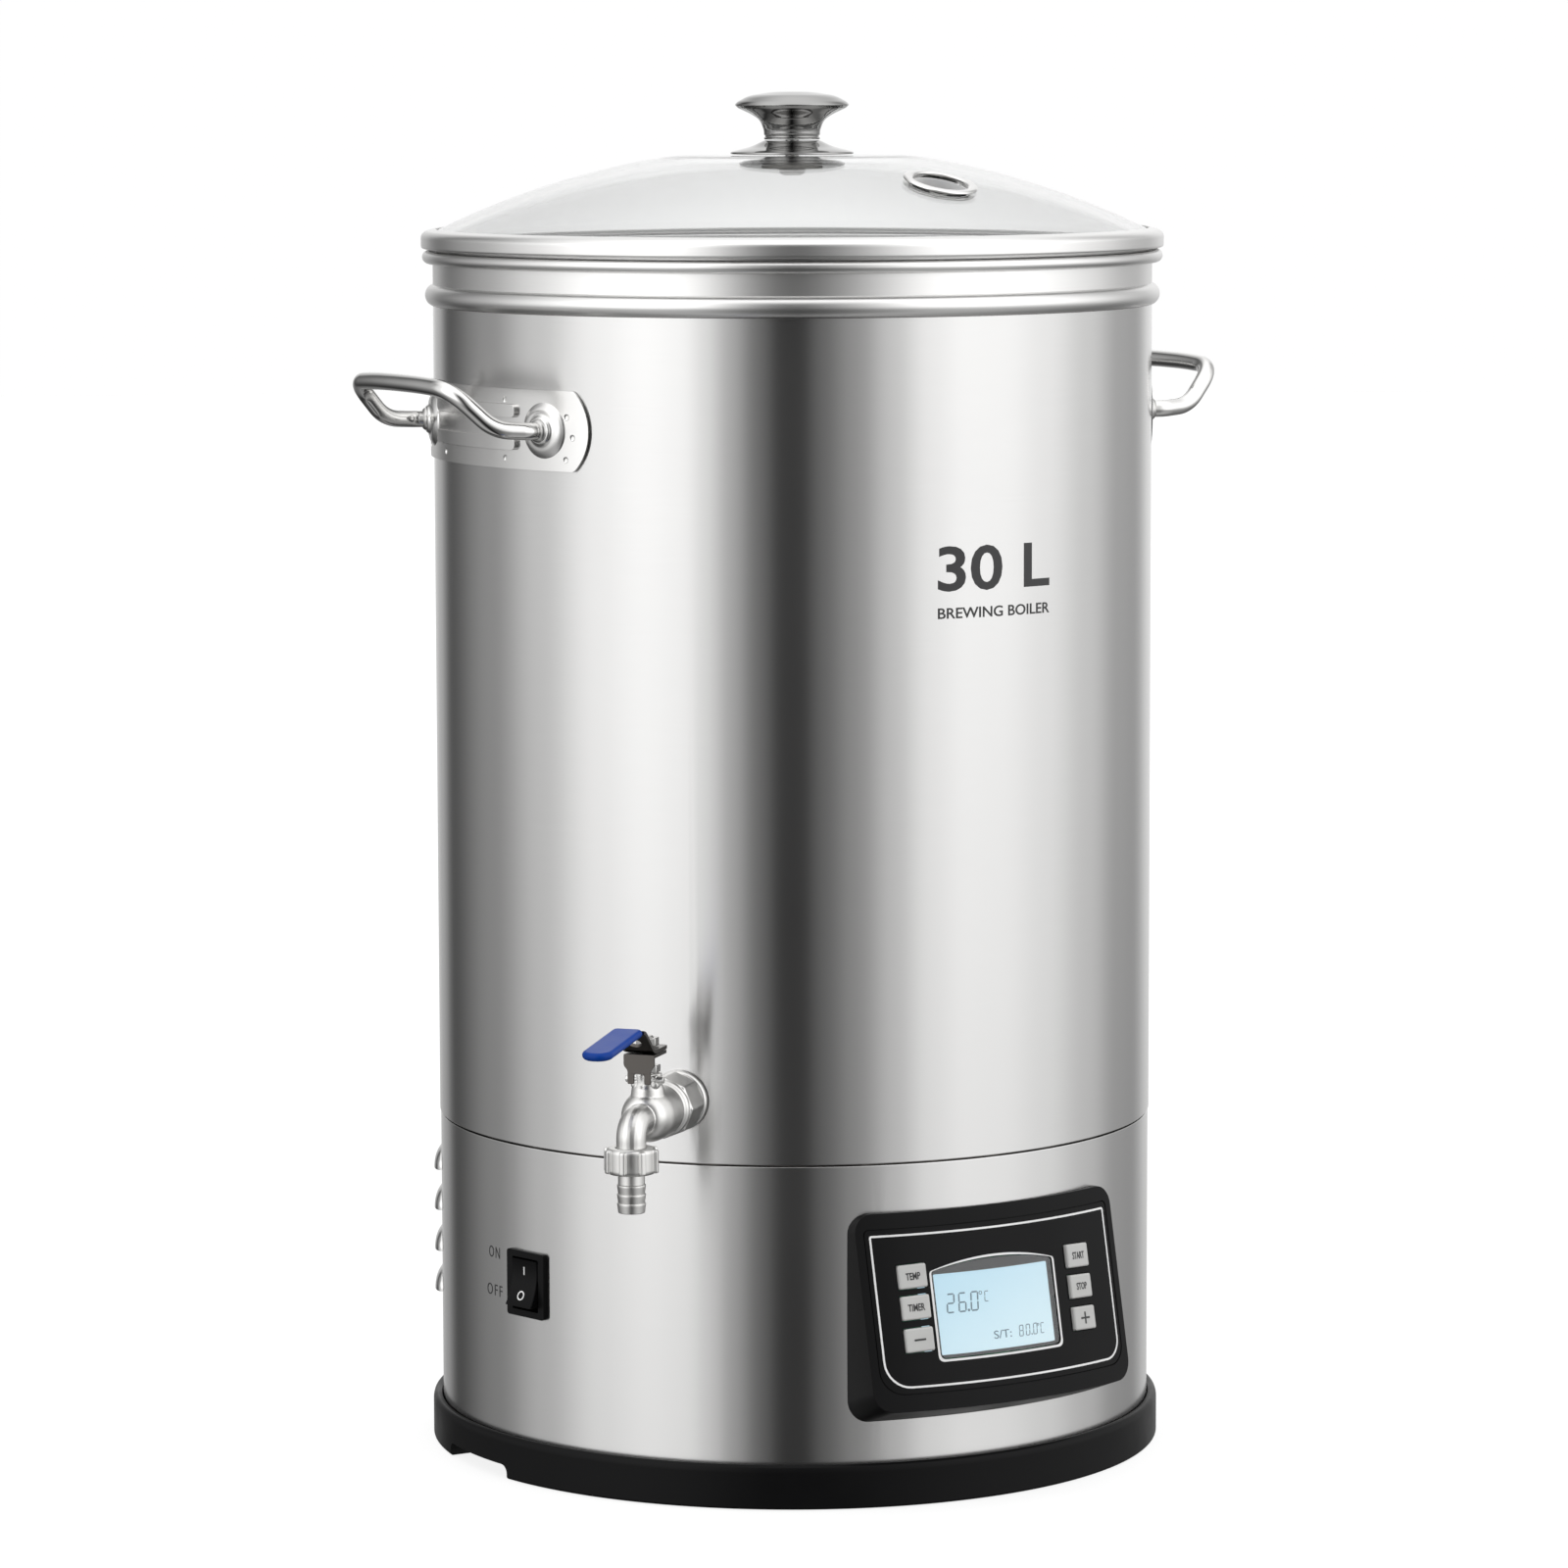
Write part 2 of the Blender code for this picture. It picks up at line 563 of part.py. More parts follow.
def handle_plate(side, frame):
    """A strip bent round the pot with arched ends, two pressed ribs and two bosses."""
    back, half, depth = -(POT_RADIUS + 0.35), 17.75, 79.0
    sag = 8.0
    radius = (half**2 + sag**2) / (2 * sag)
    spread = math.degrees(math.asin(half / radius))
    right = arc((depth - radius, 0), radius, -spread, spread, 3)
    outline = right + [(-x, z) for x, z in reversed(right)]
    plate = wrapped(prism(f"handle_plate_{side}", outline, back - 1.2, back, POLISHED, parent=frame), POT_RADIUS)
    for name, low, high in (("upper", 5.1, 10.9), ("lower", -9.3, -3.5)):
        rib = wrapped(prism(f"rib_{name}_{side}", [(-38, low), (38, low), (38, high), (-38, high)],
                            back - 3.0, back - 0.6, parent=frame), POT_RADIUS)
        join(plate, rib)
    for count, turn in enumerate((-BOSS_SPREAD, BOSS_SPREAD)):
        boss = turned(f"boss_{side}_{count}", [(0, 5.0), (5.8, 5.0), (6.6, 3.8), (10, 3.0), (13, 0.9), (13, 0.3), (0, 0.3)],
                      steps=SMALL, parent=empty(f"boss_frame_{side}_{count}", frame, turn=(0, 0, turn)),
                      at=(0, back, 0), turn=(90, 0, 0))
        join(plate, boss)


def handle_rod(side, frame):
    angle, boss_top = math.radians(BOSS_SPREAD), POT_RADIUS + 5.35

    def out_of_boss(reach):
        return (reach * math.sin(angle), -reach * math.cos(angle), 0)

    half = [out_of_boss(boss_top + 0.4), out_of_boss(boss_top + 6), (54.0, -182.5, 1.0), (47.5, -200.0, 18.5)]
    right = filleted(half + [(0, -202.5, 21.0)], 12.0)
    path = right + [Vector((-x, y, z)) for x, y, z in reversed(right[:-1])]
    rod = curve(f"handle_rod_{side}", path, POLISHED, radius=3.9)
    placed(rod, frame, (0, 0, 0), (0, 0, 0))


# ---------------------------------------------------------------- tap

def tap():
    """The ball valve, its spout and its lever. In its frame -Y points away from the pot."""
    frame = empty("tap_frame", None, (0, 0, TAP_HEIGHT), (0, 0, TAP))

    def ring(name, outer, inner, near, far, look, steps=SMALL):
        made = turned(name, [(inner, far), (outer, far), (outer, near), (inner, near)], look, steps,
                      parent=frame, turn=(90, 0, 0))
        return made

    ring("tap_flange", 13.4, 10.9, 165.4, 168.2, STEEL, 20)
    ring("tap_seal", 14.0, 10.9, 154.6, 157.1, RUBBER, 20)
    hex_nut("tap_lock_nut", 14.0, 10.9, 149.0, 154.2, STEEL, parent=frame, turn=(90, 0, 0))
    valve_body(frame)
    valve_trim(frame)
    spout(frame)
    lever(frame)


def valve_body(frame):
    along = {"parent": frame, "turn": (90, 0, 0)}
    outline = [(0, 149.6), (10.4, 149.6), (10.4, 168.6), (12.6, 168.6), (12.6, 189.0), (11.4, 190.0), (11.4, 191.5),
               (12.3, 192.5), (12.3, 209.0), (10.5, 213.5), (7.2, 216.5), (0, 216.5)]
    body = turned("tap_body", outline, CAST_STEEL, **along, steps=SMALL)
    flats = turned("tap_hexagon", [(0, 169.2), (14.2, 169.2), (14.2, 187.5), (0, 187.5)], steps=8, **along)
    join(body, flats)
    join(body, bar("bonnet", (0, -STEM_REACH, 8), (0, -STEM_REACH, PIN_RISE + 2.5), 6.2, parent=frame))
    bend = [(0, -210, 0), (0, -222.0, 0)]
    bend += [(0, -(SPOUT_REACH - 7.0 + 7.0 * math.sin(a)), -7.0 + 7.0 * math.cos(a))
             for a in (math.radians(15 * count) for count in range(1, 6))]
    bend += [(0, -SPOUT_REACH, -7.0), (0, -SPOUT_REACH, -18.6)]

    def pipe(name, path, radius):
        return placed(meshed(curve(name, path, radius=radius)), frame, (0, 0, 0), (0, 0, 0))

    join(body, pipe("elbow", bend, 6.5))
    cut(body, turned("stem_way", [(0, 30), (3.5, 30), (3.5, 1), (0, 1)], parent=frame, steps=SMALL,
                     at=(0, -STEM_REACH, 0), turn=(0, 0, 7)))
    cut(body, bar("pin_way", (-12, -STEM_REACH - PIN_OFFSET, PIN_RISE), (12, -STEM_REACH - PIN_OFFSET, PIN_RISE),
                  1.8, steps=10, parent=frame))
    cut(body, turned("ball_chamber", [(0, 140), (7.9, 140), (7.9, 215.0), (0, 215.0)], steps=SMALL, **along))
    cut(body, pipe("elbow_bore", bend[:-1] + [(0, -SPOUT_REACH, -25)], 4.4))


def valve_trim(frame):
    """The pieces that turn inside the valve, and the pin and nut that stay."""
    stem = {"parent": empty("lever_pivot", frame, (0, -STEM_REACH, 0))}

    def build(shape):
        bmesh.ops.create_uvsphere(shape, u_segments=16, v_segments=10, radius=7.3 * MM)

    ball = solid("valve_ball", POLISHED, build, **stem)
    cut(ball, bar("ball_bore", (0, -12, 0), (0, 12, 0), 4.4, steps=12, **stem))
    groove_low, groove_high = PIN_RISE - 2.0, PIN_RISE + 2.0
    turned("valve_stem", [(0, 35.4), (2.5, 35.4), (2.5, 26.8), (3.0, 26.8), (3.0, groove_high), (1.7, groove_high),
                          (1.7, groove_low), (3.0, groove_low), (3.0, 7.7), (0, 7.7)], STEEL, 12, **stem)
    pin = (-PIN_HALF, -STEM_REACH - PIN_OFFSET, PIN_RISE), (PIN_HALF, -STEM_REACH - PIN_OFFSET, PIN_RISE)
    bar("stop_pin", *pin, 1.5, STEEL, steps=10, parent=frame)
    hex_nut("packing_nut", 5.8, 3.3, PIN_RISE + 2.8, PIN_RISE + 6.0, STEEL, parent=frame, at=(0, -STEM_REACH, 0))


def lever(frame):
    """The lever, the stop plate under it, its nut and its soft sleeve, all turning with the stem."""
    stem = {"parent": bpy.data.objects["lever_pivot"]}
    width, tongue, thick = 14.0, 10.6, 1.6
    bend, shoulder, tip, head = (-10.0, 0), (-23.0, 10.8), (-66.5, 6.6), 7.0
    outline = [(head, 0), bend, shoulder, tip, (tip[0], tip[1] + thick), (shoulder[0] - 0.3, shoulder[1] + thick),
               (bend[0] + 0.7, bend[1] + thick), (head, thick)]
    plate = prism("lever_plate", outline, -width / 2, width / 2, DARK_STEEL, turn=(0, 0, 90),
                  at=(0, 0, LEVER_RISE), **stem)
    for count, side in enumerate((-1, 1)):
        cut(plate, box(f"tongue_side_{count}", (4, 60, 20),
                       at=(side * (tongue / 2 + 2), shoulder[0] - 31, LEVER_RISE + 10), **stem))
        cut(plate, box(f"head_corner_{count}", (6, 6, 6), at=(side * 8.4, 8.4, LEVER_RISE + 1), turn=(0, 0, 45), **stem))
    cut(plate, bar("lever_stem_way", (0, 0, 25), (0, 0, 34), 2.9, steps=12, **stem))
    cut(plate, bar("lever_eye", (0, -11.4, 41.0), (0, -21.6, 28.8), 3.2, steps=12, **stem))
    stop_plate(stem)
    hex_nut("lever_nut", 5.2, 2.8, LEVER_RISE + thick + 0.4, LEVER_RISE + thick + 4.0, STEEL, **stem)
    sleeve(stem, tongue)


def stop_plate(stem):
    """A plate under the lever with a skirt that straddles the stop pin."""
    top = LEVER_RISE - 0.4
    inner_face = -10.4
    plate = box("stop_plate", (14.0, 17.6, 1.4), DARK_STEEL, at=(0, -2.8, top - 0.7), **stem)
    half = [(7, top - 0.4), (7, top - 5), (5.2, top - 7), (5.2, top - 13), (2.4, top - 13), (2.4, top - 8.4)]
    outline = [(-x, z) for x, z in half] + half[::-1]
    join(plate, prism("skirt", outline, inner_face - 1.2, inner_face, **stem))
    cut(plate, bar("stop_stem_way", (0, 0, 20), (0, 0, 30), 2.9, steps=12, **stem))


def sleeve(stem, tongue):
    """The soft grip: a thick skin over the lever's far end, with a rounded tip."""
    length, width = 44.0, 13.8
    slope = math.degrees(math.atan2(4.2, 43.5))
    frame = empty("sleeve_frame", stem["parent"], (0, -24.4, LEVER_RISE + 11.5), (slope, 0, 0))
    outline = rounded_rectangle(-width / 2, width / 2, -length - 1.6, 0, (6.2, 6.2, 1.0, 1.0))
    grip = placed(meshed(curve("lever_sleeve", outline, BLUE_VINYL, thickness=3.7, closed=True)), frame,
                  (0, 0, 0), (0, 0, 0))
    cut(grip, box("sleeve_slot", (tongue + 0.8, length + 0.2, 2.0), parent=frame, at=(0, -length / 2 + 0.5, 0)))


def spout(frame):
    """The union nut and barbed tail that hang from the spout, turned about the spout's axis."""
    nut_frame = empty("union_pivot", frame, (0, -SPOUT_REACH, 0))
    nut = turned("union_nut", [(6.9, -10.3), (10.4, -10.3), (10.8, -11.0), (10.8, -20.8), (10.2, -21.6),
                               (5.8, -21.6), (5.8, -21.3), (8.6, -21.3), (8.6, -18.8), (6.9, -17.8)],
                 CAST_STEEL, SMALL, parent=nut_frame)
    for count in range(8):
        rib = box(f"nut_rib_{count}", (2.6, 2.4, 10.2))
        angle = math.radians(45 * count)
        placed(rib, nut_frame, (11.0 * math.sin(angle), -11.0 * math.cos(angle), -15.9), (0, 0, 45 * count))
        join(nut, rib)
    turned("hose_washer", [(4.5, -18.9), (6.4, -18.9), (6.4, -19.5), (4.5, -19.5)], RUBBER, SMALL,
           parent=frame, at=(0, -SPOUT_REACH, 0))
    turned("hose_barb", [(4.4, -19.8), (8.2, -19.8), (8.2, -20.9), (5.8, -20.9), (5.8, -26.4), (6.3, -26.6),
                         (5.8, -30.4), (6.3, -30.6), (5.8, -34.4), (6.3, -34.6), (5.8, -38.8), (4.4, -38.8)],
           CAST_STEEL, SMALL, parent=frame, at=(0, -SPOUT_REACH, 0))


# ---------------------------------------------------------------- basket and lid

def basket():
    wall, inner = BASKET_RADIUS, BASKET_RADIUS - SHEET
    bead = [(wall, 513.5), (wall + 2.4, 514.6), (wall + 2.4, 517.6), (wall, 518.8), (inner, 518.8)]
    body = turned("basket_body", [(138, 197.0), (inner, 197.0)] + bead[::-1] +
                  [(wall, 195.8), (138, 195.8)], POLISHED)
    for count in range(4):
        foot = box(f"foot_{count}", (18, 1.6, 44), at=(0, 0, 0))
        placed(foot, empty(f"foot_frame_{count}", None, turn=(0, 0, 90 * count)), (0, -wall - 0.2, 184.2), (0, 0, 0))
        join(body, foot)
    floor = turned("basket_floor", [(0, 198.8), (inner - 0.8, 198.8), (inner - 0.8, 197.4), (0, 197.4)], POLISHED)
    holes = []
    for circle, count in ((38, 6), (76, 10), (114, 14)):
        for number in range(count):
            angle = 360 / count * number
            holes.append((circle * math.sin(math.radians(angle)), -circle * math.cos(math.radians(angle))))

    def build(shape):
        for x, y in holes:
            place = Matrix.Translation(Vector((x, y, 198)) * MM)
            bmesh.ops.create_cone(shape, cap_ends=True, segments=6, radius1=4 * MM, radius2=4 * MM,
                                  depth=6 * MM, matrix=place)

    cut(floor, solid("floor_holes", None, build))
    for side, turn in (("front", 0), ("rear", 180)):
        reach = 138.2
        corners = [(-34, -reach, 478), (-34, -reach, 543), (34, -reach, 543), (34, -reach, 478)]
        loop = curve(f"basket_loop_{side}", filleted(corners, 12.0), STEEL, radius=2.6)
        placed(loop, empty(f"loop_frame_{side}", None, turn=(0, 0, turn)), (0, 0, 0), (0, 0, 0))


def lid():
    flat = [(4.3, LID_FLAT), (46, LID_FLAT)]
    reaches = (56, 88, 122, 147, 166.4)
    outer = flat + [on_dome(reach) for reach in reaches]
    inner = [(reach, height - GLASS) for reach, height in flat] + [on_dome(reach, GLASS) for reach in reaches]
    glass = turned("lid_glass", outer + inner[::-1], LID_GLASS_LOOK)
    cut(glass, bar("vent_way", (0, 0, -20), (0, 0, 20), 13.8, steps=20, parent=vent_frame("way")))
    turned("lid_rim", [(163.6, 561.2), (168.4, 560.2), (170.3, 558.4), (170.3, 552.2), (163.3, 552.2), (163.1, 546.0),
                       (162.1, 546.0), (161.9, 552.8), (160.6, 552.8), (160.6, 554.2), (168.6, 554.2), (168.6, 559.0),
                       (163.6, 560.4)], POLISHED)
    turned("vent_grommet", [(12.2, 1.6), (16.0, 1.8), (17.0, 1.1), (16.6, 0.4), (13.2, 0.4), (13.2, -4.9),
                            (15.8, -4.9), (15.8, -5.6), (12.2, -5.6)], POLISHED, 20, parent=vent_frame("grommet"))


def vent_frame(use):
    """A frame on the dome at the vent, with Z along the glass's normal."""
    lean = math.degrees(math.asin(VENT_REACH / LID_SPHERE))
    reach, height = on_dome(VENT_REACH)
    around = empty(f"vent_direction_{use}", None, turn=(0, 0, VENT))
    return empty(f"vent_frame_{use}", around, (0, -reach, height), (lean, 0, 0))


def knob():
    under = LID_FLAT - GLASS
    turned("knob_flange", [(4.4, 600.8), (13.2, 600.8), (18.5, 598.2), (26.5, 596.2), (28.4, 595.3),
                           (28.2, LID_FLAT + 0.3), (4.4, LID_FLAT + 0.3)], POLISHED, 20)
    turned("knob", [(0, 623.2), (12, 622.8), (20, 621.3), (25, 618.7), (26.4, 617.2), (24.6, 615.2), (19, 612.6),
                    (15.4, 610.9), (13.4, 608.3), (12.6, 604.0), (12.6, 601.2), (3.4, 601.2), (3.4, 612.0),
                    (0, 612.0)], POLISHED, 20)
    turned("knob_washer", [(3.6, under - 0.4), (14, under - 0.4), (14, under - 1.9), (3.6, under - 1.9)],
           RUBBER, SMALL)
    turned("knob_screw", [(0, 611.4), (3.0, 611.4), (3.0, under - 2.2), (6.0, under - 2.2), (6.0, under - 5.4),
                          (0, under - 5.4)], STEEL, 12)


# ---------------------------------------------------------------- assembly

clear_scene()
PARTS = collection("electric_brewer")
CUTTERS = collection("cutters", shown=False)

BRUSHED = finish("brushed_steel", (0.62, 0.62, 0.61), 0.32, 1.0)
POLISHED = finish("polished_steel", (0.72, 0.72, 0.71), 0.12, 1.0)
STEEL = finish("plain_steel", (0.55, 0.55, 0.55), 0.35, 1.0)
CAST_STEEL = finish("cast_steel", (0.66, 0.66, 0.64), 0.38, 1.0)
DARK_STEEL = finish("dark_steel", (0.25, 0.23, 0.21), 0.35, 1.0)
GALVANISED = finish("galvanised_steel", (0.5, 0.52, 0.54), 0.5, 1.0)
ALUMINIUM = finish("aluminium", (0.75, 0.76, 0.77), 0.45, 1.0)
FOIL = finish("foil_insulation", (0.7, 0.7, 0.7), 0.4, 0.8)
BLACK_PLASTIC = finish("black_plastic", (0.015, 0.015, 0.016), 0.42)
GLOSS_BLACK = finish("gloss_black", (0.01, 0.01, 0.011), 0.15)
SILVER_PLASTIC = finish("silver_plastic", (0.6, 0.6, 0.6), 0.4, 0.3)
SCREEN_BLUE = finish("screen", (0.55, 0.85, 0.95), 0.3)
CLEAR_PLASTIC = finish("clear_window", (0.9, 0.95, 1.0), 0.05, 0.0, 0.3)
LID_GLASS_LOOK = finish("lid_glass", (0.9, 0.95, 0.93), 0.02, 0.0, 0.3)
BLUE_VINYL = finish("blue_vinyl", (0.02, 0.08, 0.42), 0.35)
RUBBER = finish("silicone_rubber", (0.6, 0.58, 0.54), 0.6)
GREEN_BOARD = finish("circuit_board", (0.03, 0.2, 0.08), 0.5)



def panel_frame():
    """A frame on the axis that the panel's face is bent round, leaning back with the face."""
    lean = math.radians(PANEL_LEAN)
    behind = PANEL_CURVE * math.cos(lean) - PANEL_REACH
    under = PANEL_HEIGHT - PANEL_CURVE * math.sin(lean)
    return empty("panel_frame", None, (0, behind, under), (-PANEL_LEAN, 0, 0))


PANEL_FRAME = panel_frame()

base_ring()
bottom_cover()
base_shell()
joining_ring()
heater()
temperature_probe()
boards()
panel_housing()
buttons()
screen()
rocker_switch()
mains_inlet()
pot_walls()
inner_kettle()
handles()
tap()
basket()
lid()
knob()
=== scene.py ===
"""The looks of an electric all-in-one brewer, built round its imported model.

Sizes are in millimetres, and the helpers turn them into metres. The pot's axis is the
Z axis, the control panel faces -Y, and an azimuth is in degrees from -Y towards +X.
"""

import json
import math

import bmesh
import bpy
from mathutils import Matrix, Vector

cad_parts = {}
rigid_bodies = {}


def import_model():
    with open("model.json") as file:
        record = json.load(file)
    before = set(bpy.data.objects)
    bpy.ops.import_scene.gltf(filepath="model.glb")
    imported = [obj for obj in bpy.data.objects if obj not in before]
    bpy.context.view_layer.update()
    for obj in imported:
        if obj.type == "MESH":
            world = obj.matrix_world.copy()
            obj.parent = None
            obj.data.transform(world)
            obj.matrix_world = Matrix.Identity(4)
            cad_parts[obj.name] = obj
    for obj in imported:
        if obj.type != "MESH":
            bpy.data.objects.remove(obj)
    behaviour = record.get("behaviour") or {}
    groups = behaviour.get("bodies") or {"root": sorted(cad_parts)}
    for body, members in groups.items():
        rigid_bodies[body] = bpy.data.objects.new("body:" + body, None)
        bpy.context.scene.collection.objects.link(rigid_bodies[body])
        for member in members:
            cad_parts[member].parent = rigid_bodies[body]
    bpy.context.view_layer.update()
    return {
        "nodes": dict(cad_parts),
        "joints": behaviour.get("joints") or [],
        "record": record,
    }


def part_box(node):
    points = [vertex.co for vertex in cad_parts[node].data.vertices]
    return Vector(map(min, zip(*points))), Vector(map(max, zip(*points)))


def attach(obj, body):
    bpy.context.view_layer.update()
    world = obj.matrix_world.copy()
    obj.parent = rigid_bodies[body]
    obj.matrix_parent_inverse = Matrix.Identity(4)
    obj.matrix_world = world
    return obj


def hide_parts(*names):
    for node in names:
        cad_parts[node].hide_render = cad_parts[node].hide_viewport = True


MM = 0.001

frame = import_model()
JOINTS = {joint["name"]: joint for joint in frame["joints"]}
BODIES = {node: body for body, nodes in frame["record"]["behaviour"]["bodies"].items() for node in nodes}


def low(node):
    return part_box(node)[0] / MM


def high(node):
    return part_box(node)[1] / MM


def reach_of(place):
    return math.hypot(place[0], place[1]) / MM


def azimuth_of(place):
    return math.degrees(math.atan2(place[0], -place[1]))


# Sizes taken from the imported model
POT_RADIUS = high("outer_shell").x
BASE_RADIUS = high("base_shell").x
RING_RADIUS = high("base_ring").x
SHELL_TOP = high("outer_shell").z
RIM_TOP = high("inner_kettle").z
LID_RADIUS = high("lid_rim").x
KNOB_TOP = high("knob").z
TAP = azimuth_of(JOINTS["tap_lever_turn"]["pos_m"])
STEM_REACH = reach_of(JOINTS["tap_lever_turn"]["pos_m"])
SPOUT_REACH = reach_of(JOINTS["union_nut_turn"]["pos_m"])
TAP_HEIGHT = (low("tap_flange").z + high("tap_flange").z) / 2
SWITCH = azimuth_of(JOINTS["power_rocker"]["pos_m"])
SWITCH_HEIGHT = (low("switch_housing").z + high("switch_housing").z) / 2
HANDLE_HEIGHT = (low("handle_plate_left").z + high("handle_plate_left").z) / 2
INLET_HEIGHT = (low("mains_inlet").z + high("mains_inlet").z) / 2

# The model's driving dimensions that a box doesn't show
SHEET = 1.0
KETTLE_RADIUS = 159.5  # middle of the kettle's sheet
LID_SPHERE = 370.0
LID_CROWN = 598.1
LID_FLAT = 594.2
GLASS = 4.0
BASKET_RADIUS = 147.0
PANEL_CURVE = 211.0
PANEL_REACH = 174.6
PANEL_HEIGHT = 89.4
PANEL_LEAN = 11.9
PANEL_LIFT = math.tan(math.radians(PANEL_LEAN))
FACE = -PANEL_CURVE
KEY_WIDTH, KEY_HEIGHT = 13.4, 10.6
KEY_ROWS = (15.2, 1.4, -12.9)
KEY_COLUMNS = {-46.7: ("temp", "timer", "minus"), 42.1: ("start", "stop", "plus")}
SCREEN = (-36.8, 26.6, -22.0, 16.6)  # left, right, bottom, top
ROCKER_TRAVEL = 21.6
BOSS_SPREAD = 18.8
PIN_RISE, PIN_OFFSET = 16.5, 3.5
LEVER_RISE = 28.9
VENT, VENT_REACH = 5.0, 107.0
LOUVRES = -131.5
LOUVRE_HEIGHTS = (123.3, 104.3, 84.9, 65.8)
INLET = 180.0
HANDLES = {"left": -93.0, "right": 87.0}

ROUND = 256  # steps round the pot
TURNED = 96  # steps round small turned pieces


# ---------------------------------------------------------------- shaping

def collection(name, shown=True):
    group = bpy.data.collections.new(name)
    group.hide_render = not shown
    group.hide_viewport = not shown
    bpy.context.scene.collection.children.link(group)
    return group


LOOKS = collection("looks")
CUTTERS = collection("cutters")


def placed(obj, parent=None, at=(0, 0, 0), turn=(0, 0, 0)):
    obj.parent = parent
    obj.location = Vector(at) * MM
    obj.rotation_euler = [math.radians(angle) for angle in turn]
    return obj


def add(name, data, **place):
    obj = bpy.data.objects.new(name, data)
    CUTTERS.objects.link(obj)
    obj.hide_render = True
    return placed(obj, **place)


def empty(name, *place, **more):
    """A guide for other objects to stand in, with the values of placed."""
    return placed(add(name, None), *place, **more)


def filled(name, build, **place):
    """An object whose mesh is made by build, a function that fills a bmesh in millimetres."""
    shape = bmesh.new()
    build(shape)
    bmesh.ops.scale(shape, vec=(MM, MM, MM), verts=shape.verts)
    bmesh.ops.recalc_face_normals(shape, faces=shape.faces)
    mesh = bpy.data.meshes.new(name)
    shape.to_mesh(mesh)
    shape.free()
    return add(name, mesh, **place)


def curved(start, corner, end, steps):
    """Points of a curve from start to end that turns towards the corner between them."""
    shares = [count / steps for count in range(steps + 1)]
    return [(1 - share) ** 2 * start + 2 * share * (1 - share) * corner + share**2 * end for share in shares]


def softened(points, closed=True, steps=5):
    """The points of an outline, where a point's third value is the radius that rounds it."""
    made = []
    for index, point in enumerate(points):
        corner = Vector(point[:2])
        reach = point[2] if len(point) > 2 else 0
        at_end = not closed and index in (0, len(points) - 1)
        if not reach or at_end:
            made.append(corner)
            continue
        before = Vector(points[index - 1][:2]) - corner
        after = Vector(points[(index + 1) % len(points)][:2]) - corner
        reach = min(reach, 0.48 * before.length, 0.48 * after.length)
        start, end = corner + before.normalized() * reach, corner + after.normalized() * reach
        made += curved(start, corner, end, steps)
    return made


def turned(name, outline, steps=TURNED, closed=True, fine=5, **place):
    """A body of revolution about its own Z axis, from (radius, height) or (radius, height, rounding)."""
    points = softened(outline, closed, fine)

    def build(shape):
        rings = []
        for radius, height in points:
            if radius < 1e-6:
                rings.append([shape.verts.new((0, 0, height))] * steps)
                continue
            angles = [math.tau * count / steps for count in range(steps)]
            rings.append([shape.verts.new((radius * math.sin(a), -radius * math.cos(a),
                                           height)) for a in angles])
        pairs = list(zip(rings, rings[1:]))
        if closed:
            pairs.append((rings[-1], rings[0]))
        for first, second in pairs:
            if first[0] is first[1] and second[0] is second[1]:
                continue
            for count in range(steps):
                following = (count + 1) % steps
                corners = [first[count], first[following], second[following], second[count]]
                shape.faces.new(list(dict.fromkeys(corners)))

    return filled(name, build, **place)


def sheet(line, wall):
    """The outline of a sheet of that thickness, from its (radius, height) middle line."""
    points = [Vector(point) for point in line]
    sides = []
    for index, point in enumerate(points):
        before = points[max(index - 1, 0)]
        after = points[min(index + 1, len(points) - 1)]
        along = (after - before).normalized()
        across = Vector((along.y, -along.x)) * wall / 2
        if point.x < 1e-6:
            across = Vector((0, wall / 2 if across.y > 0 else -wall / 2))
        sides.append((point + across, point - across))
    return [a for a, _ in sides] + [b for _, b in reversed(sides)]


def block(name, size, bevel=0.0, **place):
    """A box with rounded edges."""
    def build(shape):
        bmesh.ops.create_cube(shape, matrix=Matrix.Diagonal((*size, 1)))
        if bevel:
            bmesh.ops.bevel(shape, geom=shape.edges[:], offset=bevel, segments=4, profile=0.5,
                            affect="EDGES", clamp_overlap=True)

    return filled(name, build, **place)


def bar(name, start, end, radius, steps=48, **place):
    """A round bar from one point to another."""
    start, end = Vector(start), Vector(end)
    along = end - start
    matrix = Matrix.Translation((start + end) / 2) @ along.to_track_quat("Z", "Y").to_matrix().to_4x4()

    def build(shape):
        bmesh.ops.create_cone(shape, cap_ends=True, segments=steps, radius1=radius, radius2=radius,
                              depth=along.length, matrix=matrix)

    return filled(name, build, **place)


def as_mesh(obj):
    """The object as it is evaluated, as a plain mesh object of the same name and place."""
    bpy.context.view_layer.update()
    evaluated = obj.evaluated_get(bpy.context.evaluated_depsgraph_get())
    mesh = bpy.data.meshes.new_from_object(evaluated)
    shape = bmesh.new()
    shape.from_mesh(mesh)
    bmesh.ops.remove_doubles(shape, verts=shape.verts, dist=1e-6)
    bmesh.ops.recalc_face_normals(shape, faces=shape.faces)
    shape.to_mesh(mesh)
    shape.free()
    name, parent, matrix = obj.name, obj.parent, obj.matrix_local.copy()
    bpy.data.objects.remove(obj, do_unlink=True)
    made = add(name, mesh, parent=parent)
    made.matrix_local = matrix
    return made


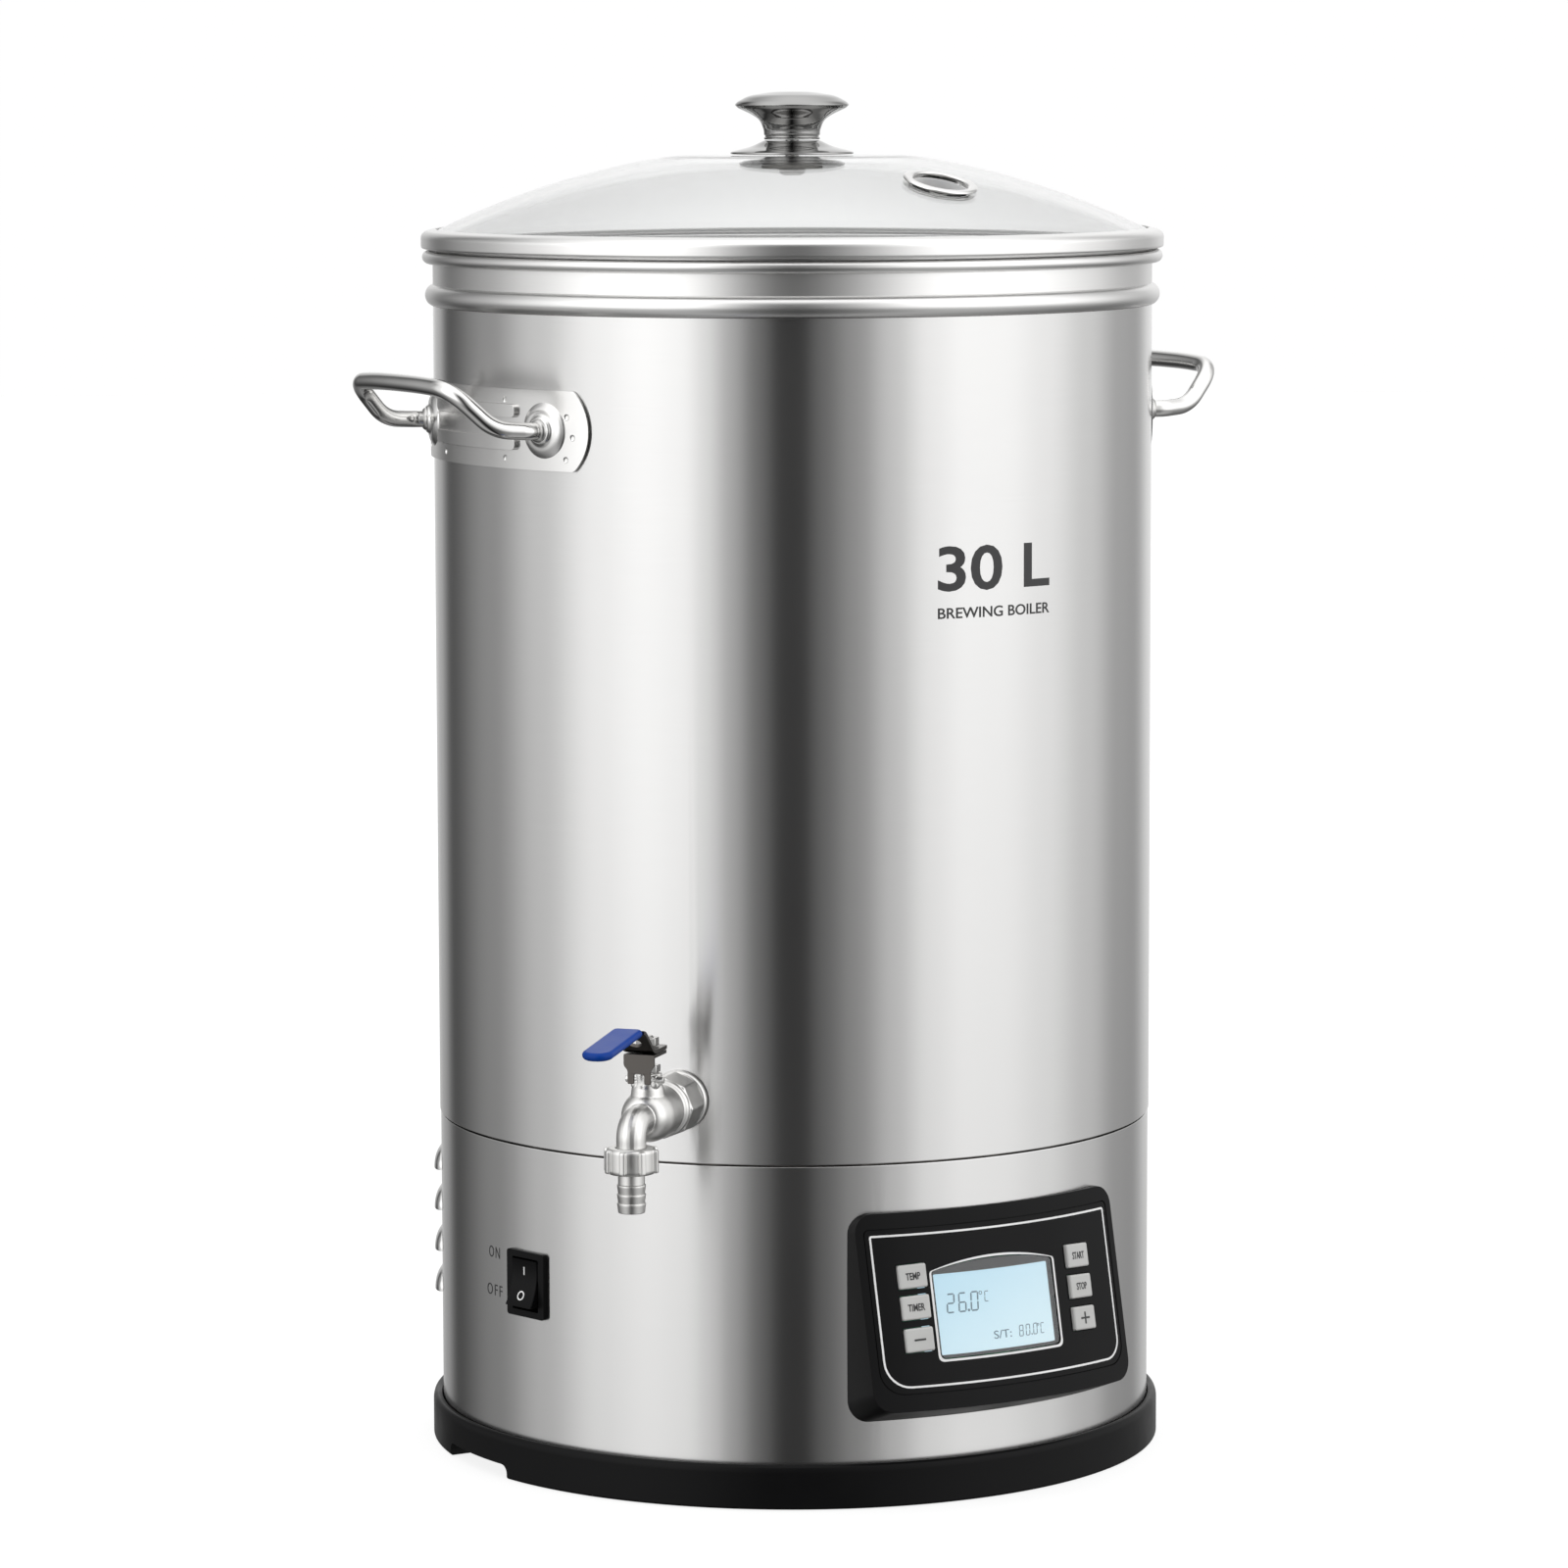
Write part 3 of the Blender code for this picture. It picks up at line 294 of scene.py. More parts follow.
def wire(name, points, radius, sides=6, **place):
    """A round wire along the points."""
    data = bpy.data.curves.new(name, "CURVE")
    data.dimensions = "3D"
    data.bevel_depth = radius * MM
    data.bevel_resolution = sides
    data.use_fill_caps = True
    spline = data.splines.new("POLY")
    spline.points.add(len(points) - 1)
    for point, where in zip(spline.points, points):
        point.co = (*(Vector(where) * MM), 1)
    return placed(as_mesh(add(name, data)), **place)


def flat(name, outlines, thickness):
    """A flat plate on z = 0 from outlines of (x, y) points; an outline inside another is a hole."""
    data = bpy.data.curves.new(name, "CURVE")
    data.dimensions = "2D"
    data.fill_mode = "BOTH"
    data.extrude = thickness / 2 * MM
    for outline in outlines:
        spline = data.splines.new("POLY")
        spline.points.add(len(outline) - 1)
        spline.use_cyclic_u = True
        for point, where in zip(spline.points, outline):
            point.co = (where[0] * MM, where[1] * MM, 0, 1)
    return as_mesh(add(name, data))


def upright(obj, front, back):
    """Turns a plate made by flat, so that its outline is seen from -Y and it runs from front to back."""
    middle = (front + back) / 2
    for vertex in obj.data.vertices:
        x, z, depth = vertex.co
        vertex.co = (x, middle * MM - depth, z)
    return obj


def prism(name, outline, front, back, bevel=0.0, front_only=False, holes=(), **place):
    """An outline of (x, z) points as a block from y = front to y = back, with rounded edges."""
    obj = upright(flat(name, [outline, *holes], back - front), front, back)
    if bevel:
        shape = bmesh.new()
        shape.from_mesh(obj.data)
        edges = [e for e in shape.edges if len(e.link_faces) == 2 and e.calc_face_angle(0) > 1.0
                 and abs(e.verts[0].co.y - e.verts[1].co.y) < 1e-7
                 and (not front_only or e.verts[0].co.y < (front + back) / 2 * MM)]
        bmesh.ops.bevel(shape, geom=edges, offset=bevel * MM, segments=4, profile=0.5,
                        affect="EDGES", clamp_overlap=True)
        shape.to_mesh(obj.data)
        shape.free()
    return placed(obj, **place)


def wrapped(obj, radius, step=2.0, lift=0.0):
    """Bends an object modelled flat round its own Z axis: y = -radius is the true length.

    What bends back from the front plane also rises, by that distance times the lift.
    """
    shape = bmesh.new()
    shape.from_mesh(obj.data)
    widths = [vertex.co.x / MM for vertex in shape.verts]
    first, last = math.ceil(min(widths) / step), math.floor(max(widths) / step)
    for count in range(first, last + 1):
        everything = shape.verts[:] + shape.edges[:] + shape.faces[:]
        bmesh.ops.bisect_plane(shape, geom=everything, dist=1e-7,
                               plane_co=(count * step * MM, 0, 0), plane_no=(1, 0, 0))
    bmesh.ops.triangulate(shape, faces=[face for face in shape.faces if len(face.verts) > 4])
    for vertex in shape.verts:
        angle, reach = vertex.co.x / (radius * MM), -vertex.co.y
        rise = reach * (1 - math.cos(angle)) * lift
        vertex.co = (reach * math.sin(angle), -reach * math.cos(angle), vertex.co.z + rise)
    shape.to_mesh(obj.data)
    shape.free()
    return obj


def combine(obj, operation, others):
    for other in others:
        step = obj.modifiers.new(operation.lower(), "BOOLEAN")
        step.operation = operation
        step.object = other
        step.solver = "EXACT"
    return obj


def cut(obj, *cutters):
    return combine(obj, "DIFFERENCE", cutters)


def join(obj, *others):
    return combine(obj, "UNION", others)


def cast(obj, grain=0.4, rounds=6):
    """Melts the object's edges together, as on a casting."""
    remesh = obj.modifiers.new("cast", "REMESH")
    remesh.mode = "VOXEL"
    remesh.voxel_size = grain * MM
    smooth = obj.modifiers.new("smooth", "SMOOTH")
    smooth.factor = 0.5
    smooth.iterations = rounds
    return obj


def rectangle(left, right, bottom, top, radii, steps=8):
    """Points anticlockwise; radii are those of the lower left, lower right, upper right and upper left."""
    corners = ((left, bottom, 1, 1, 180), (right, bottom, -1, 1, 270), (right, top, -1, -1, 0),
               (left, top, 1, -1, 90))
    points = []
    for (x, z, inward_x, inward_z, start), radius in zip(corners, radii):
        for count in range(steps + 1):
            angle = math.radians(start + 90 * count / steps)
            points.append((x + inward_x * radius + radius * math.cos(angle),
                           z + inward_z * radius + radius * math.sin(angle)))
    return points


def filleted(corners, radius, steps=10):
    """A path through the corners, each rounded by a curve that starts up to radius before it."""
    corners = [Vector(corner) for corner in corners]
    path = [corners[0]]
    for before, corner, after in zip(corners, corners[1:], corners[2:]):
        reach = min(radius, 0.48 * (before - corner).length, 0.48 * (after - corner).length)
        start = corner + (before - corner).normalized() * reach
        end = corner + (after - corner).normalized() * reach
        path += curved(start, corner, end, steps)
    return path + [corners[-1]]


def arc(centre, radius, first, last, steps):
    angles = [math.radians(first + (last - first) * count / steps) for count in range(steps + 1)]
    return [(centre[0] + radius * math.cos(a), centre[1] + radius * math.sin(a)) for a in angles]


def circle(x, y, radius, steps=20):
    return arc((x, y), radius, 0, 360 * (steps - 1) / steps, steps - 1)


def on_dome(reach, below=0.0):
    """(radius, height) on the glass dome, or that far under it along its normal."""
    shrunk = LID_SPHERE - below
    reach = reach * shrunk / LID_SPHERE
    return (reach, LID_CROWN - LID_SPHERE + math.sqrt(shrunk**2 - reach**2))


def eased_under(height, ceiling, ease=0.35):
    """The height, held below the ceiling with a smooth turn in place of a corner."""
    return (height + ceiling) / 2 - math.hypot((height - ceiling) / 2, ease)


def lettering(name, words, height, width, thickness=0.12, bold=0.0, spacing=1.0):
    """Text as a thin plate seen from -Y, of that height and width, with its middle at the origin."""
    data = bpy.data.curves.new(name, "FONT")
    data.body = words
    data.align_x = "CENTER"
    data.size = height * MM / 0.7
    data.offset = bold * MM
    data.space_character = spacing
    data.extrude = thickness / 2 * MM
    data.resolution_u = 4
    obj = as_mesh(add(name, data))
    corners = [Vector(corner) for corner in obj.bound_box]
    middle, size = (corners[0] + corners[6]) / 2, corners[6] - corners[0]
    for vertex in obj.data.vertices:
        x, z, depth = vertex.co - middle
        vertex.co = (x * width * MM / size.x, -depth, z * height * MM / size.y)
    return obj


def gathered(name, objects):
    """Several separate meshes as one object, where they stand."""
    shape = bmesh.new()
    bpy.context.view_layer.update()
    for obj in objects:
        mesh = obj.data.copy()
        mesh.transform(obj.matrix_world)
        shape.from_mesh(mesh)
        bpy.data.meshes.remove(mesh)
        bpy.data.objects.remove(obj, do_unlink=True)
    mesh = bpy.data.meshes.new(name)
    shape.to_mesh(mesh)
    shape.free()
    return add(name, mesh)


def shown(obj, look, node=None, body="brewer", crease=32):
    """Makes the object a piece that rides on its body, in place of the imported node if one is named."""
    obj = as_mesh(obj)
    bpy.context.view_layer.update()
    obj.data.transform(obj.matrix_world)
    obj.parent = None
    obj.matrix_world = Matrix.Identity(4)
    CUTTERS.objects.unlink(obj)
    LOOKS.objects.link(obj)
    obj.hide_render = False
    obj.data.materials.clear()
    obj.data.materials.append(look)
    obj.data.shade_smooth()
    obj.data.set_sharp_from_angle(angle=math.radians(crease))
    evened = obj.modifiers.new("evened", "WEIGHTED_NORMAL")
    evened.weight = 100
    evened.keep_sharp = True
    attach(obj, BODIES.get(node, body))
    if node:
        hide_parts(node)
    return obj


# ---------------------------------------------------------------- materials

class Recipe:
    """A node material under construction, with short calls for the nodes that it uses."""

    def __init__(self, name):
        self.made = bpy.data.materials.new(name)
        self.made.use_nodes = True
        self.tree = self.made.node_tree
        self.shader = self.tree.nodes["Principled BSDF"]
        self.place = self.node("ShaderNodeTexCoord").outputs["Object"]

    def node(self, kind, **values):
        node = self.tree.nodes.new(kind)
        for key, value in values.items():
            setattr(node, key, value)
        return node

    def link(self, source, target):
        self.tree.links.new(source, target)

    def set(self, **values):
        for key, value in values.items():
            self.shader.inputs[key.replace("_", " ").title().replace("Ior", "IOR")].default_value = value
        return self

    def stretched(self, scale):
        mapping = self.node("ShaderNodeMapping")
        mapping.inputs["Scale"].default_value = scale
        self.link(self.place, mapping.inputs["Vector"])
        return mapping.outputs["Vector"]

    def noise(self, scale, detail=4.0, roughness=0.55, stretch=None):
        noise = self.node("ShaderNodeTexNoise")
        noise.inputs["Scale"].default_value = scale
        noise.inputs["Detail"].default_value = detail
        noise.inputs["Roughness"].default_value = roughness
        source = self.stretched(stretch) if stretch else self.place
        self.link(source, noise.inputs["Vector"])
        return noise.outputs["Fac"]

    def ranged(self, source, low_out, high_out, low_in=0.3, high_in=0.7):
        ranged = self.node("ShaderNodeMapRange")
        ranged.inputs["From Min"].default_value = low_in
        ranged.inputs["From Max"].default_value = high_in
        ranged.inputs["To Min"].default_value = low_out
        ranged.inputs["To Max"].default_value = high_out
        self.link(source, ranged.inputs["Value"])
        return ranged.outputs["Result"]

    def mixed(self, source, first, second):
        mix = self.node("ShaderNodeMix", data_type="RGBA")
        mix.inputs["A"].default_value = (*first, 1)
        mix.inputs["B"].default_value = (*second, 1)
        self.link(source, mix.inputs["Factor"])
        return mix.outputs["Result"]

    def coloured_by(self, source, first, second):
        self.link(self.mixed(source, first, second), self.shader.inputs["Base Color"])
        middle = [(a + b) / 2 for a, b in zip(first, second)]
        self.made.diffuse_color = (*middle, 1)
        return self

    def rough_by(self, source, low_out, high_out):
        self.link(self.ranged(source, low_out, high_out), self.shader.inputs["Roughness"])
        return self

    def bumped(self, source, strength, distance):
        bump = self.node("ShaderNodeBump")
        bump.inputs["Strength"].default_value = strength
        bump.inputs["Distance"].default_value = distance * MM
        self.link(source, bump.inputs["Height"])
        self.link(bump.outputs["Normal"], self.shader.inputs["Normal"])
        return self


def brushed(name, colour, roughness, anisotropic=0.9, grain=5200.0, along=(0.008, 0.008, 1.0)):
    """Steel brushed round the Z axis: fine grooves that spread its reflections up and down."""
    recipe = Recipe(name)
    recipe.set(metallic=1.0, anisotropic=anisotropic, anisotropic_rotation=0.25)
    tangent = recipe.node("ShaderNodeTangent", direction_type="RADIAL", axis="Z")
    recipe.link(tangent.outputs["Tangent"], recipe.shader.inputs["Tangent"])
    grooves = recipe.noise(grain, 3.0, 0.6, along)
    patches = recipe.noise(9.0, 3.0, 0.5, (1.0, 1.0, 0.5))
    recipe.coloured_by(grooves, [c * 0.965 for c in colour], [min(1.0, c * 1.03) for c in colour])
    recipe.rough_by(patches, roughness - 0.015, roughness + 0.02)
    recipe.bumped(grooves, 0.06, 0.01)
    return recipe.made


def metal(name, colour, roughness, texture=900.0, strength=0.05, depth=0.02, spread=0.03, smudges=60.0):
    """Plain metal, from polished to cast, by the strength of its surface texture."""
    recipe = Recipe(name)
    recipe.set(metallic=1.0)
    fine = recipe.noise(texture, 4.0, 0.6)
    broad = recipe.noise(smudges, 3.0, 0.5)
    recipe.coloured_by(broad, [c * 0.95 for c in colour], [min(1.0, c * 1.04) for c in colour])
    recipe.rough_by(broad, max(0.02, roughness - spread), roughness + spread)
    recipe.bumped(fine, strength, depth)
    return recipe.made


def plastic(name, colour, roughness, texture=1500.0, strength=0.15, depth=0.03, spread=0.05, gleam=0.5):
    """Moulded plastic with a fine spark-eroded texture."""
    recipe = Recipe(name)
    recipe.set(specular_ior_level=gleam)
    fine = recipe.noise(texture, 3.0, 0.6)
    broad = recipe.noise(40.0, 3.0, 0.5)
    recipe.coloured_by(broad, [c * 0.85 for c in colour], [min(1.0, c * 1.12) for c in colour])
    recipe.rough_by(broad, max(0.03, roughness - spread), roughness + spread)
    recipe.bumped(fine, strength, depth)
    return recipe.made


def clear(name, colour, roughness=0.0, ior=1.5):
    recipe = Recipe(name)
    recipe.set(transmission_weight=1.0, ior=ior, roughness=roughness)
    haze = recipe.noise(25.0, 2.0, 0.5)
    recipe.coloured_by(haze, [c * 0.995 for c in colour], colour)
    recipe.made.diffuse_color = (*colour, 0.3)
    return recipe.made


def backlit():
    """The display: pale blue, brightest low in the middle and deeper towards its top left."""
    recipe = Recipe("display_backlight")
    recipe.set(roughness=0.35)
    separate = recipe.node("ShaderNodeSeparateXYZ")
    recipe.link(recipe.place, separate.inputs[0])
    lowest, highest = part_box("lcd_module")
    across = recipe.ranged(separate.outputs["X"], 0.0, 1.0, lowest.x, highest.x)
    up = recipe.ranged(separate.outputs["Z"], 0.0, 1.0, lowest.z, highest.z)
    fade = recipe.node("ShaderNodeMath", operation="MULTIPLY_ADD")
    recipe.link(across, fade.inputs[0])
    fade.inputs[1].default_value = 0.45
    lowness = recipe.node("ShaderNodeMath", operation="MULTIPLY_ADD")
    recipe.link(up, lowness.inputs[0])
    lowness.inputs[1].default_value = -0.6
    lowness.inputs[2].default_value = 0.62
    recipe.link(lowness.outputs[0], fade.inputs[2])
    pixels = recipe.noise(900.0, 1.0, 0.4)
    tint = recipe.mixed(fade.outputs[0], (0.48, 0.74, 0.88), (0.76, 0.93, 0.98))
    recipe.link(tint, recipe.shader.inputs["Emission Color"])
    recipe.shader.inputs["Base Color"].default_value = (0.18, 0.24, 0.27, 1.0)
    recipe.shader.inputs["Emission Strength"].default_value = 0.72
    recipe.rough_by(pixels, 0.3, 0.4)
    return recipe.made


def board():
    """Green laminate with copper tracks under the varnish."""
    recipe = Recipe("circuit_laminate")
    cells = recipe.node("ShaderNodeTexVoronoi", feature="DISTANCE_TO_EDGE", distance="MANHATTAN")
    cells.inputs["Scale"].default_value = 130.0
    recipe.link(recipe.place, cells.inputs["Vector"])
    tracks = recipe.ranged(cells.outputs["Distance"], 1.0, 0.0, 0.02, 0.06)
    recipe.coloured_by(tracks, (0.012, 0.10, 0.035), (0.05, 0.26, 0.09))
    recipe.rough_by(recipe.noise(200.0), 0.3, 0.45)
    return recipe.made


def felt():
    """Foil-faced felt, creased, with painted shade: its colour is darker in the hollows of the creases."""
    recipe = Recipe("foil_felt")
    recipe.set(metallic=0.85)
    crease_relief_and_shade = recipe.noise(55.0, 6.0, 0.7)
    # painted shade: the colour follows the crease relief, darker where the relief is low
    recipe.coloured_by(crease_relief_and_shade, (0.55, 0.55, 0.56), (0.82, 0.82, 0.83))
    recipe.rough_by(crease_relief_and_shade, 0.25, 0.5)
    recipe.bumped(crease_relief_and_shade, 0.6, 1.0)
    return recipe.made


BRUSHED = brushed("brushed_steel", (0.625, 0.622, 0.617), 0.21)
POLISHED = metal("polished_steel", (0.72, 0.715, 0.705), 0.10, strength=0.02)
PLATE = metal("plate_steel", (0.77, 0.765, 0.755), 0.24, strength=0.03)
SATIN = brushed("satin_steel", (0.79, 0.786, 0.778), 0.30, 0.3)
# Painted shade: the mirror finish with its colour turned down, so that the knob shows darker reflections
# than the studio gives it.
SHADED_CHROME = metal("shaded_chrome", (0.34, 0.338, 0.333), 0.045, strength=0.01, spread=0.015)
MIRROR = metal("mirror_steel", (0.76, 0.755, 0.745), 0.045, strength=0.01, spread=0.015)
STEEL = metal("plain_steel", (0.55, 0.545, 0.535), 0.28, strength=0.08)
CAST = metal("cast_steel", (0.70, 0.695, 0.68), 0.34, 1800.0, 0.35, 0.05, 0.05, 220.0)
DARK_STEEL = metal("dark_steel", (0.105, 0.097, 0.09), 0.30, 1200.0, 0.15, 0.03)
ZINC = metal("zinc_plate", (0.55, 0.57, 0.60), 0.38, 400.0, 0.1, 0.03, 0.08, 90.0)
ALUMINIUM = metal("aluminium", (0.76, 0.77, 0.78), 0.42, 700.0, 0.2, 0.04)
BLACK = plastic("black_plastic", (0.0045, 0.0045, 0.0048), 0.36, gleam=0.10)
GLOSS = plastic("gloss_black", (0.004, 0.004, 0.0043), 0.13, 400.0, 0.03, 0.02, 0.02, gleam=0.09)
KEYS = plastic("key_plastic", (0.50, 0.50, 0.49), 0.36, 1800.0, 0.1)
BLUE = plastic("blue_vinyl", (0.002, 0.042, 0.27), 0.34, 500.0, 0.12, 0.05, gleam=0.14)
SILICONE = plastic("silicone", (0.62, 0.60, 0.55), 0.5)
WHITE_INK = plastic("white_ink", (0.80, 0.80, 0.80), 0.45, 900.0, 0.05)
BLACK_INK = plastic("black_ink", (0.020, 0.020, 0.021), 0.4, 900.0, 0.05)
DISPLAY_INK = plastic("display_segments", (0.12, 0.21, 0.27), 0.5, 900.0, 0.05)
WINDOW = clear("clear_window", (0.97, 0.99, 1.0), 0.02, 1.45)
LID_GLASS = clear("lid_glass", (0.992, 0.997, 0.995), ior=1.38)
BACKLIGHT = backlit()
BOARD = board()
FELT = felt()


# ---------------------------------------------------------------- base

def base_ring():
    ring = turned("foot_ring", [
        (150.0, 4.0), (150.0, 12.0), (160.5, 15.0), (163.1, 15.0), (163.1, 9.0), (165.1, 9.0),
        (165.1, 19.4, 0.5), (167.4, 20.2, 2.0), (RING_RADIUS - 0.5, 19.2, 1.6), (RING_RADIUS, 17.4, 1.0),
        (RING_RADIUS, 0.8, 0.6), (RING_RADIUS - 0.8, 0.0, 0.6), (157.3, 0.0, 0.6), (157.3, 4.0)], ROUND)
    for side, azimuth in HANDLES.items():
        notch = rectangle(-28, 28, -8, 6.3, (0.5, 0.5, 4, 4))
        cut(ring, prism(f"notch_{side}", notch, -175, -145, turn=(0, 0, azimuth)))
    for count in range(3):
        place = {"turn": (0, 0, 60 + 120 * count)}
        cut(ring, bar(f"ring_hole_{count}", (0, -153, 0), (0, -153, 10.0), 1.9, **place))
    shown(ring, BLACK, "base_ring")


def bottom_cover():
    """The zinc-plated floor with its slots and screws."""
    top, bottom, reach = high("bottom_cover").z, low("bottom_cover").z, high("bottom_cover").x
    slots = [rectangle(-45, 45, 18 * row - 28.6, 18 * row - 25.4, (1.5,) * 4, 4) for row in range(4)]
    screws = [(153 * math.sin(math.radians(60 + 120 * count)),
               -153 * math.cos(math.radians(60 + 120 * count)))
              for count in range(3)]
    holes = slots + [circle(x, y, 2.2) for x, y in screws]
    plate = flat("floor_plate", [circle(0, 0, reach, ROUND), *holes], top - bottom)
    placed(plate, at=(0, 0, (top + bottom) / 2))
    shown(plate, ZINC, "bottom_cover")
    for count, (x, y) in enumerate(screws):
        screw = turned(f"floor_screw_{count + 1}", [
            (0, 9.0), (1.5, 9.0, 0.4), (1.5, 2.4), (3.6, 2.4, 0.2), (3.6, 1.5, 0.5), (2.4, 0.6, 0.6),
            (0, 0.6)],
            48, False, at=(x, y, 0))
        for turn in (0, 90):
            cut(screw, block(f"drive_{count}_{turn}", (3.0, 0.8, 1.6), at=(x, y, 0.8), turn=(0, 0, turn)))
        shown(screw, STEEL, f"cover_screw_{count + 1}")


def hood(name, half_size, drop, **place):
    """A blunt pressed hood that is open below, to be joined to the shell or cut from it."""
    def build(shape):
        bmesh.ops.create_uvsphere(shape, u_segments=40, v_segments=28, radius=1)
        for vertex in shape.verts:
            x, y, z = vertex.co
            blunt = math.copysign(abs(x) ** 0.5, x)
            vertex.co = (blunt * half_size[0], y * half_size[1] - BASE_RADIUS, z * half_size[2])
        bmesh.ops.remove_doubles(shape, verts=shape.verts, dist=1e-4)
        everything = shape.verts[:] + shape.edges[:] + shape.faces[:]
        sliced = bmesh.ops.bisect_plane(shape, geom=everything, plane_co=(0, 0, -drop),
                                        plane_no=(0, 0, -1), clear_outer=True)
        rim = [item for item in sliced["geom_cut"] if isinstance(item, bmesh.types.BMEdge)]
        bmesh.ops.contextual_create(shape, geom=rim)

    return wrapped(filled(name, build, **place), BASE_RADIUS)


def base_shell():
    inside = BASE_RADIUS - SHEET
    top, bottom = high("base_shell").z, low("base_shell").z
    shell = turned("base_skin", [(inside, top), (BASE_RADIUS, top, 0.95), (BASE_RADIUS, bottom),
                                 (inside, bottom)], ROUND)
    cut(shell, prism("panel_opening", rectangle(-58, 58, 50, 124, (4,) * 4), -175, -140))
    cut(shell, prism("switch_opening", rectangle(-11, 11, -13.6, 13.6, (0.4,) * 4), -175, -150,
                     at=(0, 0, SWITCH_HEIGHT), turn=(0, 0, SWITCH)))
    cut(shell, prism("inlet_opening", rectangle(-14.2, 14.2, -10.8, 10.8, (0.4,) * 4), -175, -150,
                     at=(0, 0, INLET_HEIGHT), turn=(0, 0, INLET)))
    for row, height in enumerate(LOUVRE_HEIGHTS):
        place = {"at": (0, 0, height), "turn": (0, 0, LOUVRES)}
        join(shell, hood(f"hood_{row}", (30, 4.5, 10.0), 0.0, **place))
        cut(shell, hood(f"slot_{row}", (28.6, 3.5, 8.8), 0.3, **place))
    shown(shell, BRUSHED, "base_shell", crease=24)


# ---------------------------------------------------------------- control panel

def panel_frame():
    """A guide on the axis that the panel's face is bent round, leaning back with the face."""
    lean = math.radians(PANEL_LEAN)
    behind = PANEL_CURVE * math.cos(lean) - PANEL_REACH
    under = PANEL_HEIGHT - PANEL_CURVE * math.sin(lean)
    return empty("panel_frame", None, (0, behind, under), (-PANEL_LEAN, 0, 0))


PANEL = panel_frame()


def on_panel(name, outline, front, back, bevel=0.0, holes=(), front_only=False):
    made = prism(name, outline, FACE + front, FACE + back, bevel, front_only, holes, parent=PANEL)
    return wrapped(made, PANEL_CURVE, lift=PANEL_LIFT)


def screen_outline(margin=0.0, steps=24):
    """The window's outline: straight sides and an arched top."""
    left, right, bottom, top = SCREEN
    left, right, bottom = left - margin, right + margin, bottom - margin
    rise = 3.6 + margin
    arch = []
    for count in range(steps + 1):
        share = count / steps
        arch.append((right + (left - right) * share, top + rise * 4 * share * (1 - share)))
    corners = [(left, bottom, 3.0), (right, bottom, 3.0), (*arch[0], 1.5), *arch[1:-1], (*arch[-1], 1.5)]
    return softened(corners, True, 8)


def flared(obj, front, back, wide, tall):
    """Widens a block towards its back, as the housing's sides are."""
    for vertex in obj.data.vertices:
        share = (vertex.co.y / MM - front) / (back - front)
        vertex.co.x *= 1 + (wide - 1) * share
        vertex.co.z *= 1 + (tall - 1) * share
    return obj


def key_frame(column, row):
    angle = column / PANEL_CURVE
    rise = PANEL_CURVE * (1 - math.cos(angle)) * PANEL_LIFT
    place = (PANEL_CURVE * math.sin(angle), -PANEL_CURVE * math.cos(angle), row + rise)
    return empty(f"key_frame_{column:.0f}_{row:.0f}", PANEL, place, (0, 0, math.degrees(angle)))


def panel_housing():
    depth = 32
    outline = rectangle(-70.5, 70.5, -44.3, 43.6, (9,) * 4, 12)
    housing = prism("panel_bezel_shell", outline, FACE, FACE + depth, 2.2, True, parent=PANEL)
    wrapped(flared(housing, FACE, FACE + depth, 1.18, 1.12), PANEL_CURVE, lift=PANEL_LIFT)
    cut(housing, turned("shell_clearance", [(0, 170), (BASE_RADIUS + 0.4, 170), (BASE_RADIUS + 0.4, 10),
                                            (0, 10)],
                        ROUND, False))
    tray = rectangle(-66.8, 66.8, -36.8, 36.8, (11, 9, 2.5, 2.5))
    cut(housing, on_panel("tray", tray, -3, 1.3))
    hollow = prism("hollow", rectangle(-67.5, 67.5, -41.5, 40.5, (7,) * 4), FACE + 3.7, FACE + 40,
                   parent=PANEL)
    wrapped(flared(hollow, FACE + 3.7, FACE + 40, 1.16, 1.06), PANEL_CURVE, lift=PANEL_LIFT)
    cut(housing, hollow)
    cut(housing, on_panel("window_way", screen_outline(0.4), -3, 9))
    overlay = on_panel("panel_face", rectangle(-66.4, 66.4, -36.4, 36.4, (10.6, 8.6, 2.2, 2.2)), 0.2, 1.0,
                       0.25)
    cut(overlay, on_panel("overlay_way", screen_outline(0.4), -3, 9))
    for column in KEY_COLUMNS:
        for row in KEY_ROWS:
            place = {"parent": key_frame(column, row)}
            for obj in (housing, overlay):
                cut(obj, block(f"key_way_{column:.0f}_{row:.0f}_{obj.name}",
                               (KEY_WIDTH + 0.8, 14, KEY_HEIGHT + 0.8), 0.6, **place))
    shown(housing, BLACK, "panel_bezel", crease=28)
    shown(overlay, GLOSS, "panel_overlay", crease=28)


def printed_line(name, outer, inner, look):
    """A printed line between two outlines on the panel's face."""
    shown(on_panel(name, outer, 0.06, 0.16, holes=[inner]), look)


def panel_print():
    radii, width = (12, 9, 1.2, 1.2), 0.9
    outer = rectangle(-64.4, 64.4, -34.0, 34.0, radii)
    inner = rectangle(-64.4 + width, 64.4 - width, -34.0 + width, 34.0 - width,
                      [max(0.4, r - width) for r in radii])
    printed_line("panel_border_line", outer, inner, WHITE_INK)
    printed_line("screen_border_line", screen_outline(1.5), screen_outline(0.5), WHITE_INK)


LABELS = {
    "temp": ("TEMP", 3.2, 6.8), "timer": ("TIMER", 3.2, 7.9), "start": ("START", 3.2, 7.4),
    "stop": ("STOP", 3.2, 6.4),
}


